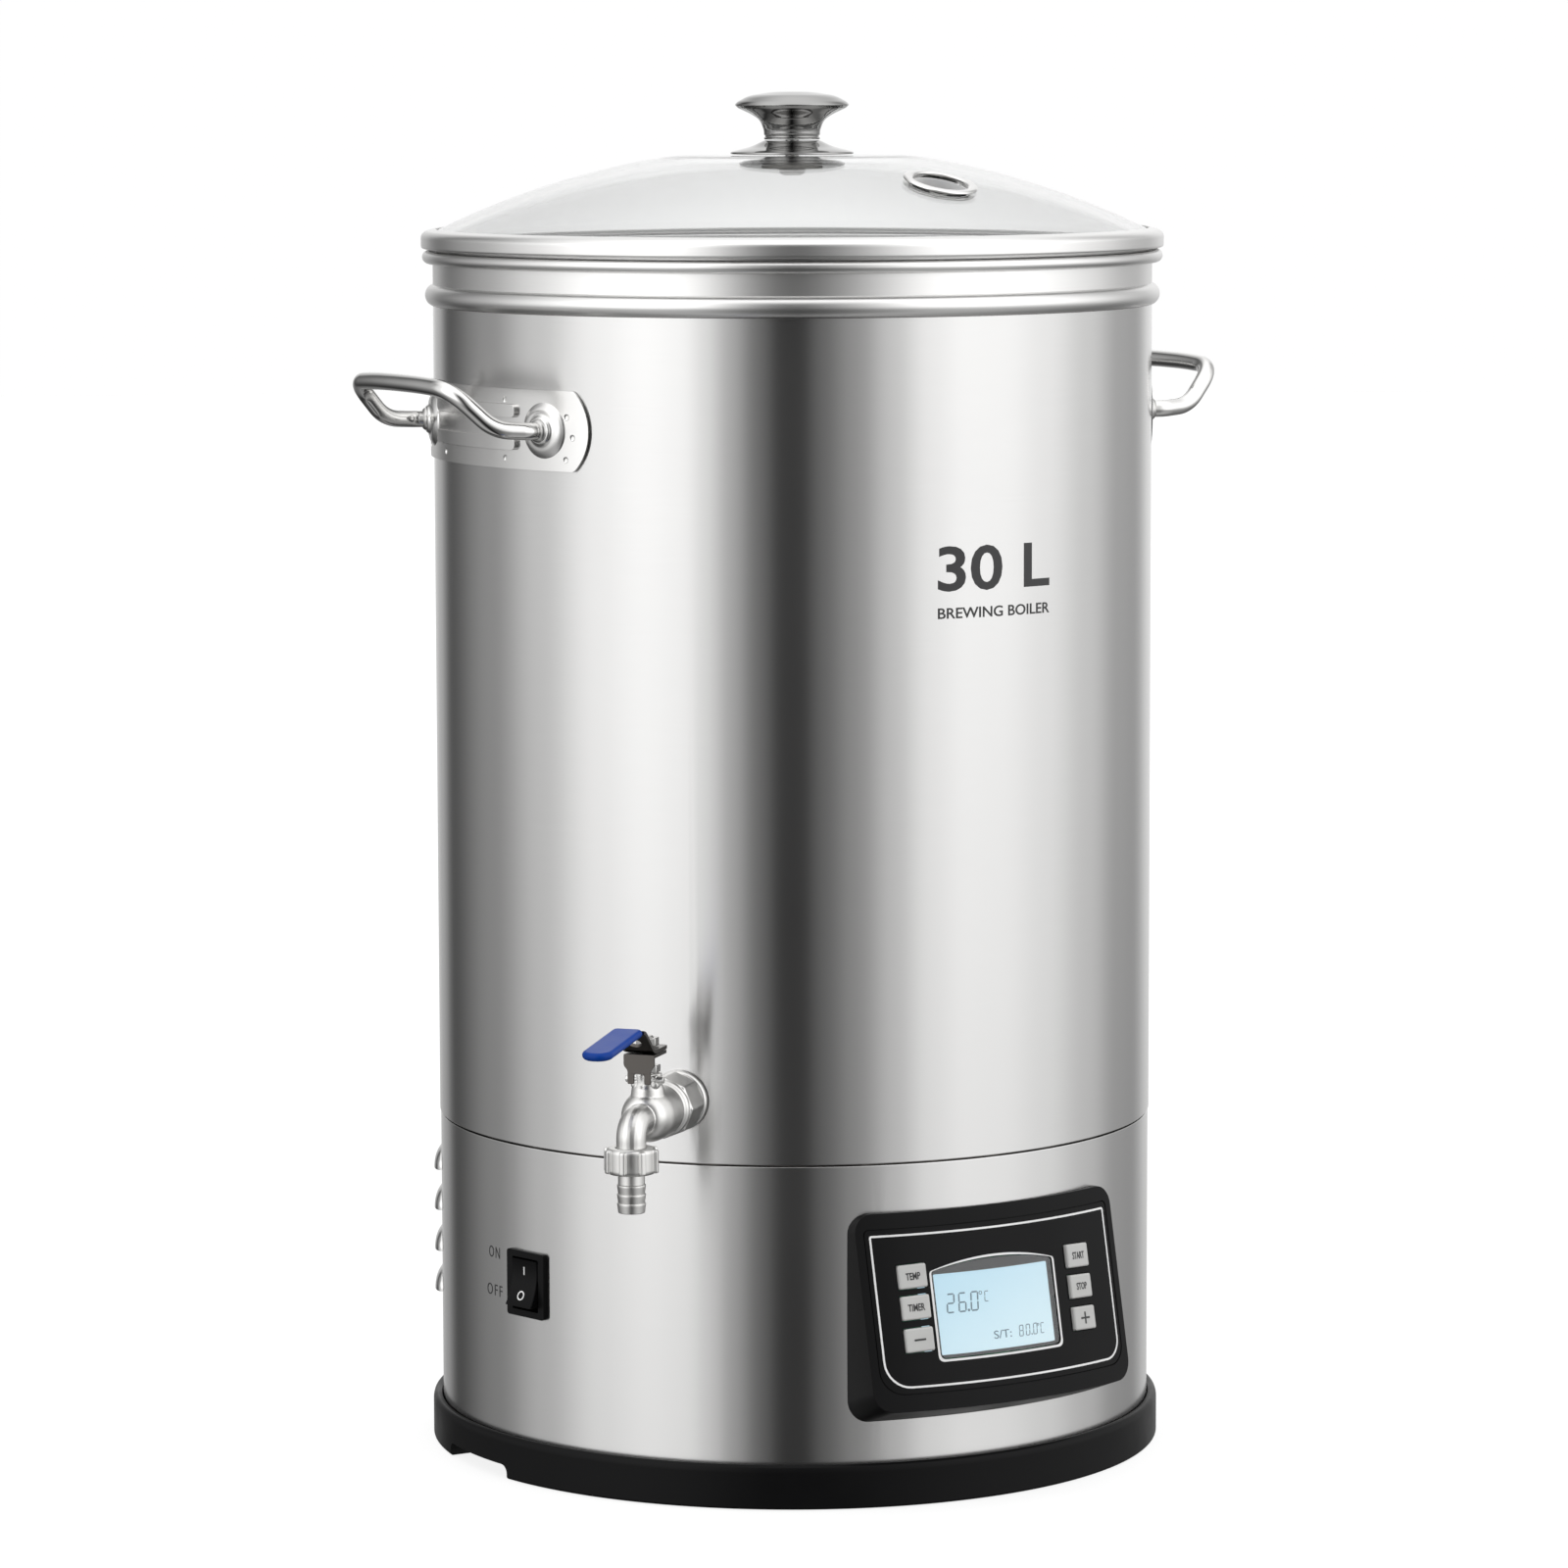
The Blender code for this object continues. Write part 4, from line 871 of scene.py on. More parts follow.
def keys():
    """Six pressed keys with their labels printed on them."""
    for column, names in KEY_COLUMNS.items():
        for row, name in zip(KEY_ROWS, names):
            guide = key_frame(column, row)
            body = f"button_{name}"
            key = block(f"key_{name}", (KEY_WIDTH, 5.0, KEY_HEIGHT), 0.9, parent=guide, at=(0, 1.0, 0))
            join(key, block(f"plunger_{name}", (3, 9, 3), parent=guide, at=(0, 7.0, 0)))
            shown(key, KEYS, body)
            if name in LABELS:
                label = lettering(f"label_{name}", *LABELS[name], 0.16, 0.07)
            else:
                label = block(f"label_{name}", (5.4, 0.16, 0.85), 0.0)
                if name == "plus":
                    join(label, block("label_plus_upright", (0.85, 0.16, 5.4), 0.0, parent=guide,
                                      at=(0, -1.55, 0)))
            placed(label, guide, (0, -1.55, 0))
            shown(label, BLACK_INK, body=body)


SEGMENTS = {"0": "abcdef", "2": "abged", "6": "acdefg", "8": "abcdefg", "C": "adef"}


def on_screen(name, outline, holes=()):
    """A thin mark on the display's front."""
    return on_panel(name, outline, 2.18, 2.28, holes=holes)


def digit(name, shape, x, z, height, lean=0.08):
    """The lit segments of one digit as thin bars; x and z are its lower left corner."""
    width, stroke, gap = height * 0.42, height * 0.085, height * 0.03
    half = height / 2
    bars = {
        "a": (width / 2, height, True), "g": (width / 2, half, True), "d": (width / 2, 0, True),
        "f": (0, half * 1.5, False), "b": (width, half * 1.5, False),
        "e": (0, half * 0.5, False), "c": (width, half * 0.5, False),
    }
    made = []
    for segment in SEGMENTS[shape]:
        along, up, level = bars[segment]
        long = (width if level else half) - stroke - gap
        ends = long / 2, stroke / 2
        outline = [(-ends[0] - ends[1], 0), (-ends[0], -ends[1]), (ends[0], -ends[1]),
                   (ends[0] + ends[1], 0), (ends[0], ends[1]), (-ends[0], ends[1])]
        if not level:
            outline = [(b, a) for a, b in outline][::-1]
        outline = [(x + along + a + lean * (up + b), z + up + b) for a, b in outline]
        made.append(on_screen(f"{name}_{segment}", outline))
    return made


def screen():
    """The display behind its clear window: a temperature in large digits and a set point below."""
    left, right, bottom, top = SCREEN
    window = on_panel("screen_window", screen_outline(), 0.6, 1.8, 0.2)
    shown(window, WINDOW, "lcd_window")
    middle, width = (left + right) / 2, right - left - 2
    module = block("screen_module", (width, 11.8, 36.4), 0.5, parent=PANEL,
                   at=(middle, FACE + 12.4, (bottom + 17.2) / 2))
    shown(module, BACKLIGHT, "lcd_module")
    lit = (left + 0.9, right - 1.7, bottom + 1.4, 15.2)
    gap = rectangle(*lit, (0.6,) * 4)
    shown(on_panel("screen_mask", screen_outline(-0.1), 2.1, 2.5, holes=[gap]), BLACK_INK)
    glow = rectangle(lit[0] + 0.1, lit[1] - 0.1, lit[2] + 0.1, lit[3] - 0.1, (0.5,) * 4)
    shown(on_panel("screen_face", glow, 2.3, 2.9), BACKLIGHT)
    marks = []
    for shape, x in (("2", -30.8), ("6", -24.9), ("0", -18.7)):
        marks += digit(f"reading_{shape}", shape, x, -2.2, 8.1)
    marks += digit("reading_unit", "C", -11.3, 1.2, 4.4)
    for shape, x in (("8", 5.1), ("0", 8.8), ("0", 13.0)):
        marks += digit(f"setting_{shape}_{x:.0f}", shape, x, -16.2, 4.7)
    marks += digit("setting_unit", "C", 17.2, -16.2, 4.4)
    for name, x, z, radius in (("reading_point", -20.0, -1.9, 0.6), ("setting_point", 12.0, -16.0, 0.35)):
        marks.append(on_screen(name, circle(x, z, radius)))
    for name, x, z, outer in (("reading_degree", -13.2, 5.2, 0.85), ("setting_degree", 16.0, -12.2, 0.6)):
        marks.append(on_screen(name, circle(x, z, outer), [circle(x, z, outer - 0.3)]))
    word = lettering("setting_word", "S/T:", 3.6, 9.4, 0.12)
    marks.append(placed(word, PANEL, (-3.9, FACE + 2.24, -14.1)))
    shown(gathered("screen_digits", marks), DISPLAY_INK)


# ---------------------------------------------------------------- switch, inlet and prints

def round_pot(name, words, height, width, azimuth, up, radius, look, **text):
    """Printed words on a shell of that radius."""
    print_ = lettering(name, words, height, width, **text)
    for vertex in print_.data.vertices:
        vertex.co.y -= (radius + 0.02) * MM
    wrapped(print_, radius)
    shown(placed(print_, at=(0, 0, up), turn=(0, 0, azimuth)), look)


def rocker_switch():
    guide = empty("switch_frame", None, (0, 0, SWITCH_HEIGHT), (0, 0, SWITCH))
    face = -(BASE_RADIUS + 0.4)
    housing = prism("switch_frame_body", rectangle(-12.5, 12.5, -15, 15, (1.5,) * 4), face - 1.2,
                    face + 0.85, 0.5,
                    True, parent=guide)
    cut(housing, turned("frame_seat", [(0, 110), (BASE_RADIUS + 0.05, 110), (BASE_RADIUS + 0.05, 70),
                                       (0, 70)],
                        ROUND, False))
    join(housing, block("switch_body", (21, 22, 26.4), 0.3, parent=guide, at=(0, face + 10, 0)))
    cut(housing, block("rocker_well", (17.4, 13, 24.0), 0.5, parent=guide, at=(0, face + 3.5, 0)))
    shown(housing, BLACK, "switch_housing")
    pivot = empty("rocker_pivot", guide, (0, face + 1.0, 0), (-ROCKER_TRAVEL / 2, 0, 0))
    dish = [(3.2 + 2.0 * (up / 10.6) ** 2, up) for up in [10.6 * count / 8 for count in range(9)]]
    half = dish + [(1.5, 10.6), (-5.4, 4.0)]
    outline = half + [(out, -up) for out, up in reversed(half[1:])]
    rocker = prism("rocker_key", outline, -8.4, 8.4, 0.5, parent=pivot, turn=(0, 0, -90))
    shown(rocker, GLOSS, "switch_rocker", crease=24)
    line = block("rocker_mark_on", (0.7, 0.2, 3.6), 0.0, parent=pivot, at=(0, -3.82, 5.6), turn=(11.3, 0, 0))
    shown(line, WHITE_INK, body="power_switch")
    mark = prism("rocker_mark_off", circle(0, 0, 2.2, 32), -0.1, 0.1, holes=[circle(0, 0, 1.55, 32)],
                 parent=pivot, at=(0, -3.82, -5.6), turn=(-11.3, 0, 0))
    shown(mark, WHITE_INK, body="power_switch")
    aside = math.degrees(25.4 / BASE_RADIUS)
    for name, words, up, width in (("switch_word_on", "ON", 10.8, 9.1),
                                   ("switch_word_off", "OFF", -6.6, 12.7)):
        round_pot(name, words, 5.2, width, SWITCH - aside, SWITCH_HEIGHT + up, BASE_RADIUS, BLACK_INK,
                  bold=-0.03, spacing=1.3)


def mains_inlet():
    guide = empty("inlet_frame", None, (0, 0, INLET_HEIGHT), (0, 0, INLET))
    face = -(BASE_RADIUS + 0.4)
    inlet = prism("inlet_socket", rectangle(-25, 25, -14, 14, (4,) * 4), face - 3, face - 0.6, 0.6, True,
                  parent=guide)
    join(inlet, block("inlet_body", (27.4, 24, 20.6), 0.4, parent=guide, at=(0, face + 11, 0)))
    recess = softened([(-12, -8, 1), (12, -8, 1), (12, 4, 1), (8, 8, 1), (-8, 8, 1), (-12, 4, 1)])
    cut(inlet, prism("inlet_recess", recess, face - 8, face + 16, parent=guide))
    for count, x in enumerate((-19.5, 19.5)):
        cut(inlet, bar(f"inlet_fixing_{count}", (x, face - 8, 0), (x, face - 1.4, 0), 2.6, parent=guide))
    shown(inlet, BLACK, "mains_inlet")
    pins = [block(f"inlet_pin_{count}", (2.0, 16, 4.0), 0.5, parent=guide, at=(x, face + 10, z))
            for count, (x, z) in enumerate(((-7, -2), (7, -2), (0, 2)))]
    shown(gathered("inlet_pins", pins), MIRROR)
    for count, x in enumerate((-19.5, 19.5)):
        screw = turned(f"inlet_screw_{count}", [(0, 2.2), (1.2, 2.1, 0.4), (2.4, 1.4, 0.4), (2.4, 0),
                                                (0, 0)],
                       40, False, parent=guide, at=(x, face - 1.5, 0), turn=(90, 0, 0))
        cut(screw, block(f"inlet_screw_slot_{count}", (4.0, 1.6, 0.7), parent=guide, at=(x, face - 3.6, 0)))
        shown(screw, STEEL)


def capacity_print():
    """A plain capacity mark in place of any maker's print."""
    round_pot("capacity_mark", "30 L", 20, 60, 0.0, 416.0, POT_RADIUS, BLACK_INK, bold=0.5)
    round_pot("purpose_mark", "BREWING BOILER", 4.8, 60, 0.0, 396.5, POT_RADIUS, BLACK_INK, bold=0.1)


# ---------------------------------------------------------------- pot

def tap_way(name, radius=10.8):
    return bar(name, (0, -140, TAP_HEIGHT), (0, -175, TAP_HEIGHT), radius, turn=(0, 0, TAP))


def pot_walls():
    inside = POT_RADIUS - SHEET
    bottom = low("outer_shell").z
    shell = turned("pot_skin", [(inside, SHELL_TOP), (POT_RADIUS, SHELL_TOP, 0.3), (POT_RADIUS, bottom, 0.4),
                                (inside, bottom)], ROUND)
    cut(shell, tap_way("shell_tap_way"))
    shown(shell, BRUSHED, "outer_shell", crease=24)


def inner_kettle():
    neck = POT_RADIUS - SHEET / 2
    bead = arc((neck - 1.0, 530.9), 4.6, -62, 62, 14)
    rim = arc((neck + 2.4, RIM_TOP - SHEET / 2 - 2.4), 2.4, 180, -70, 24)
    line = [(0, 161.3)] + softened([(150, 161.3), (KETTLE_RADIUS, 161.3, 9.0), (KETTLE_RADIUS, 175)], False,
                                   10)
    line += [(KETTLE_RADIUS, 522.5), (160.6, 525.4), (161.6, 526.6)]
    line += bead + [(neck, 535.8)] + rim
    kettle = turned("kettle_skin", sheet(line, SHEET), ROUND)
    cut(kettle, tap_way("kettle_tap_way"))
    cut(kettle, bar("kettle_probe_way", (0, -60, 150), (0, -60, 170), 3.3))
    shown(kettle, SATIN, "inner_kettle", crease=35)


def handle_plate(side, guide):
    """A strip bent round the pot with arched ends, two pressed ribs, two bosses and its weld spots."""
    back, half, depth, sag = -(POT_RADIUS + 0.35), 17.75, 79.0, 8.0
    radius = (half**2 + sag**2) / (2 * sag)
    spread = math.degrees(math.asin(half / radius))
    right = [(x, z, 1.2 if count in (0, 16) else 0) for count, (x, z) in
             enumerate(arc((depth - radius, 0), radius, -spread, spread, 16))]
    outline = softened(right + [(-x, z, r) for x, z, r in reversed(right)])
    plate = wrapped(prism(f"handle_strip_{side}", outline, back - 1.2, back, 0.35, True, parent=guide),
                    POT_RADIUS)
    for name, bottom, top in (("upper", 5.1, 10.9), ("lower", -9.3, -3.5)):
        rib = prism(f"rib_{name}_{side}", rectangle(-37.3, 37.3, bottom, top, (2.4,) * 4), back - 3.0,
                    back - 0.4, 1.4,
                    True, parent=guide)
        join(plate, wrapped(rib, POT_RADIUS))
        line = prism(f"rib_line_{name}_{side}", rectangle(-35.5, 35.5, bottom - 0.6, bottom - 0.05,
                                                          (0.2,) * 4),
                     back - 1.6, back - 0.7, parent=guide)
        cut(plate, wrapped(line, POT_RADIUS))
    for count, turn in enumerate((-BOSS_SPREAD, BOSS_SPREAD)):
        boss = turned(f"boss_{side}_{count}", [(0, 5.0), (5.8, 5.0, 0.8), (6.8, 3.4, 1.0), (10, 2.9, 1.5),
                                              (12.4, 1.2, 1.0), (13, 0.3), (0, 0.3)],
                      64, False, parent=empty(f"boss_frame_{side}_{count}", guide, turn=(0, 0, turn)),
                      at=(0, back, 0), turn=(90, 0, 0))
        join(plate, boss)
    for sign in (-1, 1):
        for count, (turn, z) in enumerate(((10.0, 12.9), (10.0, -13.2), (23.4, 6.2), (24.5, -2.8),
                                           (23.2, -12.6))):
            spot = turned(f"weld_{side}_{sign}_{count}", [(0, 1.9), (1.7, 1.9), (1.6, 0.7, 0.4),
                                                          (1.0, 0.1, 0.3), (0, 0.1)], 24, False,
                          parent=empty(f"weld_frame_{side}_{sign}_{count}", guide, turn=(0, 0, sign * turn)),
                          at=(0, back - 0.5, z), turn=(90, 0, 0))
            cut(plate, spot)
    shown(plate, PLATE, f"handle_plate_{side}", crease=28)


def handle_rod(side, guide):
    angle, boss_top = math.radians(BOSS_SPREAD), POT_RADIUS + 5.35

    def out_of_boss(reach):
        return (reach * math.sin(angle), -reach * math.cos(angle), 0)

    half = [out_of_boss(boss_top + 0.1), out_of_boss(boss_top + 6), (54.0, -182.5, 1.0),
            (47.5, -200.0, 18.5)]
    right = filleted(half + [(24.0, -201.9, 19.9), (0, -202.5, 20.1)], 20.0)
    path = right + [Vector((-x, y, z)) for x, y, z in reversed(right[:-1])]
    rod = wire(f"handle_bar_{side}", path, 3.9, 8, parent=guide)
    shown(rod, POLISHED, f"handle_rod_{side}", crease=50)
    for count, sign in enumerate((-1, 1)):
        start = Vector((sign * out_of_boss(boss_top)[0], out_of_boss(boss_top)[1], 0))
        along = Vector((sign * math.sin(angle), -math.cos(angle), 0))
        bead = turned(f"weld_bead_{side}_{count}", [(3.2, -0.25), (5.3, -0.25, 0.3), (4.9, 0.9, 0.6),
                                                    (3.95, 1.6, 0.3), (3.2, 1.6)], 48, parent=guide)
        bead.location = start * MM
        bead.rotation_mode = "QUATERNION"
        bead.rotation_quaternion = along.to_track_quat("Z", "Y")
        shown(bead, STEEL)


def handles():
    for side, azimuth in HANDLES.items():
        guide = empty(f"handle_frame_{side}", None, (0, 0, HANDLE_HEIGHT), (0, 0, azimuth))
        handle_plate(side, guide)
        handle_rod(side, guide)


# ---------------------------------------------------------------- tap

TAP_FRAME = empty("tap_frame", None, (0, 0, TAP_HEIGHT), (0, 0, TAP))
LEVER_PIVOT = empty("lever_pivot", TAP_FRAME, (0, -STEM_REACH, 0))
ALONG_TAP = {"parent": TAP_FRAME, "turn": (90, 0, 0)}


def hexagon(name, across, bore, bottom, top, bevel=0.5, sides=6, **place):
    """A nut with its corners rounded off, on its own Z axis."""
    outside = across / 2 / math.cos(math.pi / sides)

    def build(shape):
        bmesh.ops.create_cone(shape, cap_ends=True, segments=sides, radius1=outside, radius2=outside,
                              depth=top - bottom, matrix=Matrix.Translation((0, 0, (top + bottom) / 2)))
        bmesh.ops.bevel(shape, geom=shape.edges[:], offset=bevel, segments=4, profile=0.5, affect="EDGES")

    nut = filled(name, build, **place)
    if bore:
        cut(nut, turned(f"{name}_bore", [(0, top + 1), (bore, top + 1), (bore, bottom - 1), (0, bottom - 1)],
                        64, False, **place))
    return nut


def tap_fixings():
    """The flange against the pot, and the seal and nut inside it."""
    flange = turned("tap_collar", [(10.9, 168.2, 0.4), (12.6, 168.2, 0.6), (13.4, 167.3, 0.6),
                                   (13.4, 165.4), (10.9, 165.4)],
                    **ALONG_TAP)
    shown(flange, CAST, "tap_flange")
    seal = turned("tap_gasket", [(10.9, 157.1, 0.4), (14.0, 157.1, 0.8), (14.0, 154.6, 0.8),
                                 (10.9, 154.6, 0.4)], **ALONG_TAP)
    shown(seal, SILICONE, "tap_seal")
    shown(hexagon("tap_backnut", 24.2, 10.9, 149.0, 154.2, **ALONG_TAP), STEEL, "tap_lock_nut")


def valve_body():
    outline = [(0, 149.6), (10.4, 149.6, 0.5), (10.4, 168.6), (12.3, 168.6, 0.4), (12.6, 170.2, 0.8),
               (12.6, 189.0, 0.8), (11.0, 190.2, 0.4), (11.0, 192.2, 0.4), (11.8, 193.0, 0.6),
               (11.8, 208.0, 3.0), (10.2, 213.5, 3.0), (7.2, 216.5, 2.0), (0, 216.5)]
    body = turned("valve_casting", outline, closed=False, **ALONG_TAP)
    join(body, hexagon("tap_hexagon", 25.6, 0, 170.4, 187.2, 0.7, 8, **ALONG_TAP))
    join(body, turned("bonnet", [(0, 8), (7.6, 8), (7.0, 12.5, 2.5), (6.2, 14.0, 1.5),
                                 (6.2, PIN_RISE + 2.5, 0.5),
                                 (0, PIN_RISE + 2.5)], closed=False, parent=LEVER_PIVOT))
    for side in (-1, 1):
        lug = block(f"pin_lug_{side}", (3.6, 7.4, 6.0), 1.4, parent=LEVER_PIVOT,
                    at=(side * 4.6, -1.6, PIN_RISE - 0.9))
        join(body, lug)
    turn = 7.0
    bend = [(0, -208, 0), (0, -(SPOUT_REACH - turn), 0)]
    for count in range(1, 12):
        angle = math.radians(90 * count / 12)
        bend.append((0, -(SPOUT_REACH - turn + turn * math.sin(angle)), -turn + turn * math.cos(angle)))
    bend += [(0, -SPOUT_REACH, -turn), (0, -SPOUT_REACH, -18.6)]
    join(body, wire("elbow", bend, 6.5, 10, parent=TAP_FRAME))
    cut(body, turned("stem_way", [(0, 30), (3.5, 30), (3.5, 1), (0, 1)], 48, False, parent=LEVER_PIVOT))
    cut(body, bar("pin_way", (-12, -PIN_OFFSET, PIN_RISE), (12, -PIN_OFFSET, PIN_RISE), 1.7,
                  parent=LEVER_PIVOT))
    cut(body, turned("ball_chamber", [(0, 140), (7.9, 140), (7.9, 215.0), (0, 215.0)], 64, False,
                     **ALONG_TAP))
    cut(body, wire("elbow_bore", bend[:-1] + [(0, -SPOUT_REACH, -25)], 4.6, 8, parent=TAP_FRAME))
    casting = shown(cast(body, 0.3, 3), CAST, "tap_body", crease=40)
    casting.visible_glossy = False  # the brushed pot beside it would carry a long smear of it


def valve_trim():
    """The pin and nut that stay, and the ball and stem that turn."""
    stem = {"parent": LEVER_PIVOT}
    pin = turned("stop_rod", [(0, 8.7), (1.5, 8.7, 0.4), (1.5, -8.7, 0.4), (0, -8.7)], 40, False,
                 parent=LEVER_PIVOT,
                 at=(0, -PIN_OFFSET, PIN_RISE), turn=(0, 90, 0))
    shown(pin, CAST, "stop_pin")
    shown(hexagon("gland_nut", 10.0, 3.3, PIN_RISE + 2.8, PIN_RISE + 6.0, 0.4, **stem), STEEL, "packing_nut")

    def build(shape):
        bmesh.ops.create_uvsphere(shape, u_segments=64, v_segments=40, radius=7.3)

    ball = cut(filled("ball_plug", build, **stem), bar("ball_bore", (0, -12, 0), (0, 12, 0), 4.4, **stem))
    shown(ball, MIRROR, "valve_ball", crease=40)
    thread = []
    for count in range(11):
        thread += [(2.5, 35.0 - 0.7 * count), (2.25, 34.65 - 0.7 * count)]
    outline = [(0, 35.4), (2.0, 35.4)] + thread + [(2.5, 26.8), (3.0, 26.8), (3.0, PIN_RISE + 2.0),
                                                   (1.7, PIN_RISE + 2.0), (1.7, PIN_RISE - 2.0),
                                                   (3.0, PIN_RISE - 2.0), (3.0, 7.7), (0, 7.7)]
    shown(turned("stem_spindle", outline, 48, False, **stem), STEEL, "valve_stem")


def bent_strip(name, line, thick, width, **place):
    """A strip of metal bent along a line of (y, z) points, of a width, with the bends rounded."""
    middle = softened(line, False, 8)
    sides = []
    for index, point in enumerate(middle):
        along = (middle[min(index + 1, len(middle) - 1)] - middle[max(index - 1, 0)]).normalized()
        across = Vector((-along.y, along.x)) * thick / 2
        sides.append((point + across, point - across))
    outline = [a for a, _ in sides] + [b for _, b in reversed(sides)]
    return prism(name, outline, -width / 2, width / 2, 0.3, turn=(0, 0, 90), **place)


def lever():
    """The lever, the stop plate under it, its nut and its soft sleeve."""
    stem = {"parent": LEVER_PIVOT}
    width, tongue, thick = 14.0, 10.6, 1.6
    level = LEVER_RISE + thick / 2
    line = [(7.0, level), (-10.4, level, 3.0), (-23.0, level + 11.0, 3.5), (-66.0, level + 6.8)]
    plate = bent_strip("lever_strip", line, thick, width, **stem)
    for side in (-1, 1):
        cut(plate, block(f"tongue_side_{side}", (4, 60, 20), 0.0,
                         at=(side * (tongue / 2 + 2), -54.5, LEVER_RISE + 8.7), **stem))
        cut(plate, block(f"head_corner_{side}", (6, 6, 6), 0.0, at=(side * 8.4, 8.4, level),
                         turn=(0, 0, 45), **stem))
    cut(plate, bar("lever_stem_way", (0, 0, 25), (0, 0, 34), 2.9, **stem))
    cut(plate, bar("lever_eye", (0, -11.4, 41.0), (0, -21.6, 28.8), 3.2, **stem))
    shown(plate, DARK_STEEL, "lever_plate", crease=28)
    stop_plate(stem)
    nut_base = LEVER_RISE + thick + 0.4
    shown(hexagon("lever_nut_hex", 8.9, 2.8, nut_base, nut_base + 3.6, 0.35, **stem), STEEL, "lever_nut")
    sleeve(stem, tongue)


def stop_plate(stem):
    """A plate under the lever with a skirt that straddles the stop pin."""
    top, inner = LEVER_RISE - 0.4, -10.4
    outline = softened([(-7, -11.6, 0.5), (7, -11.6, 0.5), (7, 6.0, 1.5), (-7, 6.0, 1.5)])
    plate = flat("stop_strip", [outline, circle(0, 0, 2.9, 40)], 1.4)
    placed(plate, LEVER_PIVOT, (0, 0, top - 0.7))
    half = [(7, top - 0.4, 0), (7, top - 5, 1.0), (5.2, top - 7, 1.0), (5.2, top - 13, 0.6),
            (2.4, top - 13, 0.6), (2.4, top - 8.4, 1.2)]
    skirt = prism("skirt", softened([(-x, z, r) for x, z, r in half] + half[::-1]), inner - 1.2, inner,
                  0.25, **stem)
    shown(join(plate, skirt), DARK_STEEL, "stop_plate", crease=28)


def sleeve(stem, tongue):
    """The soft grip, dipped over the lever's far end, with a rounded tip and rounded edges."""
    length, width, half = 44.0, 13.8, 1.85  # half is half its thickness
    slope = math.degrees(math.atan2(4.2, 43.5))
    guide = empty("sleeve_frame", stem["parent"], (0, -24.4, LEVER_RISE + 11.5), (slope, 0, 0))

    def build(shape):
        rings = []
        for count in range(13):
            angle = math.radians(-90 + 15 * count)
            inset = half * (1 - math.cos(angle))
            radii = (6.4 - inset, 6.4 - inset, 2.6 - inset, 2.6 - inset)
            outline = rectangle(inset - width / 2, width / 2 - inset, inset - length - 1.6, -inset, radii,
                                10)
            rings.append([shape.verts.new((x, y, half * math.sin(angle))) for x, y in outline])
        for under, over in zip(rings, rings[1:]):
            for index, vertex in enumerate(under):
                shape.faces.new((under[index - 1], vertex, over[index], over[index - 1]))
        shape.faces.new(rings[0][::-1])
        shape.faces.new(rings[-1])

    grip = filled("grip_sleeve", build, parent=guide)
    cut(grip, block("sleeve_slot", (tongue + 0.8, length - 1.1, 2.0), 0.0, parent=guide,
                    at=(0, 1.15 - length / 2, 0)))
    shown(grip, BLUE, "lever_sleeve", crease=40)


def spout():
    """The union nut and the barbed tail that hang from the spout."""
    place = {"parent": TAP_FRAME, "at": (0, -SPOUT_REACH, 0)}
    nut_frame = empty("union_frame", **place)
    nut = turned("union_ring", [(6.9, -10.3, 0.4), (9.9, -10.3, 1.0), (10.8, -11.4, 0.8), (10.8, -20.4, 0.8),
                                (10.0, -21.6, 0.8), (5.8, -21.6), (5.8, -21.3), (8.6, -21.3), (8.6, -18.8),
                                (6.9, -17.8)],
                 parent=nut_frame)
    for count in range(8):
        angle = math.radians(45 * count)
        rib = block(f"nut_rib_{count}", (2.8, 2.6, 10.2), 0.7, parent=nut_frame,
                    at=(11.0 * math.sin(angle), -11.0 * math.cos(angle), -15.9), turn=(0, 0, 45 * count))
        join(nut, rib)
    shown(cast(nut, 0.28, 3), CAST, "union_nut", crease=40)
    washer = turned("tail_washer", [(4.5, -18.9, 0.2), (6.4, -18.9, 0.2), (6.4, -19.5, 0.2),
                                    (4.5, -19.5, 0.2)], **place)
    shown(washer, SILICONE, "hose_washer")
    barbs = [(5.8, -20.9), (5.8, -26.2)]
    for top in (-26.4, -30.4, -34.4):
        barbs += [(6.25, top - 0.1, 0.2), (6.25, top - 0.8, 0.2), (5.8, top - 3.9)]
    outline = [(4.4, -19.8), (8.2, -19.8), (8.2, -20.9)] + barbs[:-1] + [(5.8, -38.8, 0.4), (4.4, -38.8)]
    shown(turned("hose_tail", outline, **place), CAST, "hose_barb")


def tap():
    tap_fixings()
    valve_body()
    valve_trim()
    lever()
    spout()


# ---------------------------------------------------------------- lid

def vent_frame():
    """A guide on the dome at the vent, with Z along the glass's normal."""
    lean = math.degrees(math.asin(VENT_REACH / LID_SPHERE))
    reach, height = on_dome(VENT_REACH)
    around = empty("vent_direction", None, turn=(0, 0, VENT))
    return empty("vent_frame", around, (0, -reach, height), (lean, 0, 0))


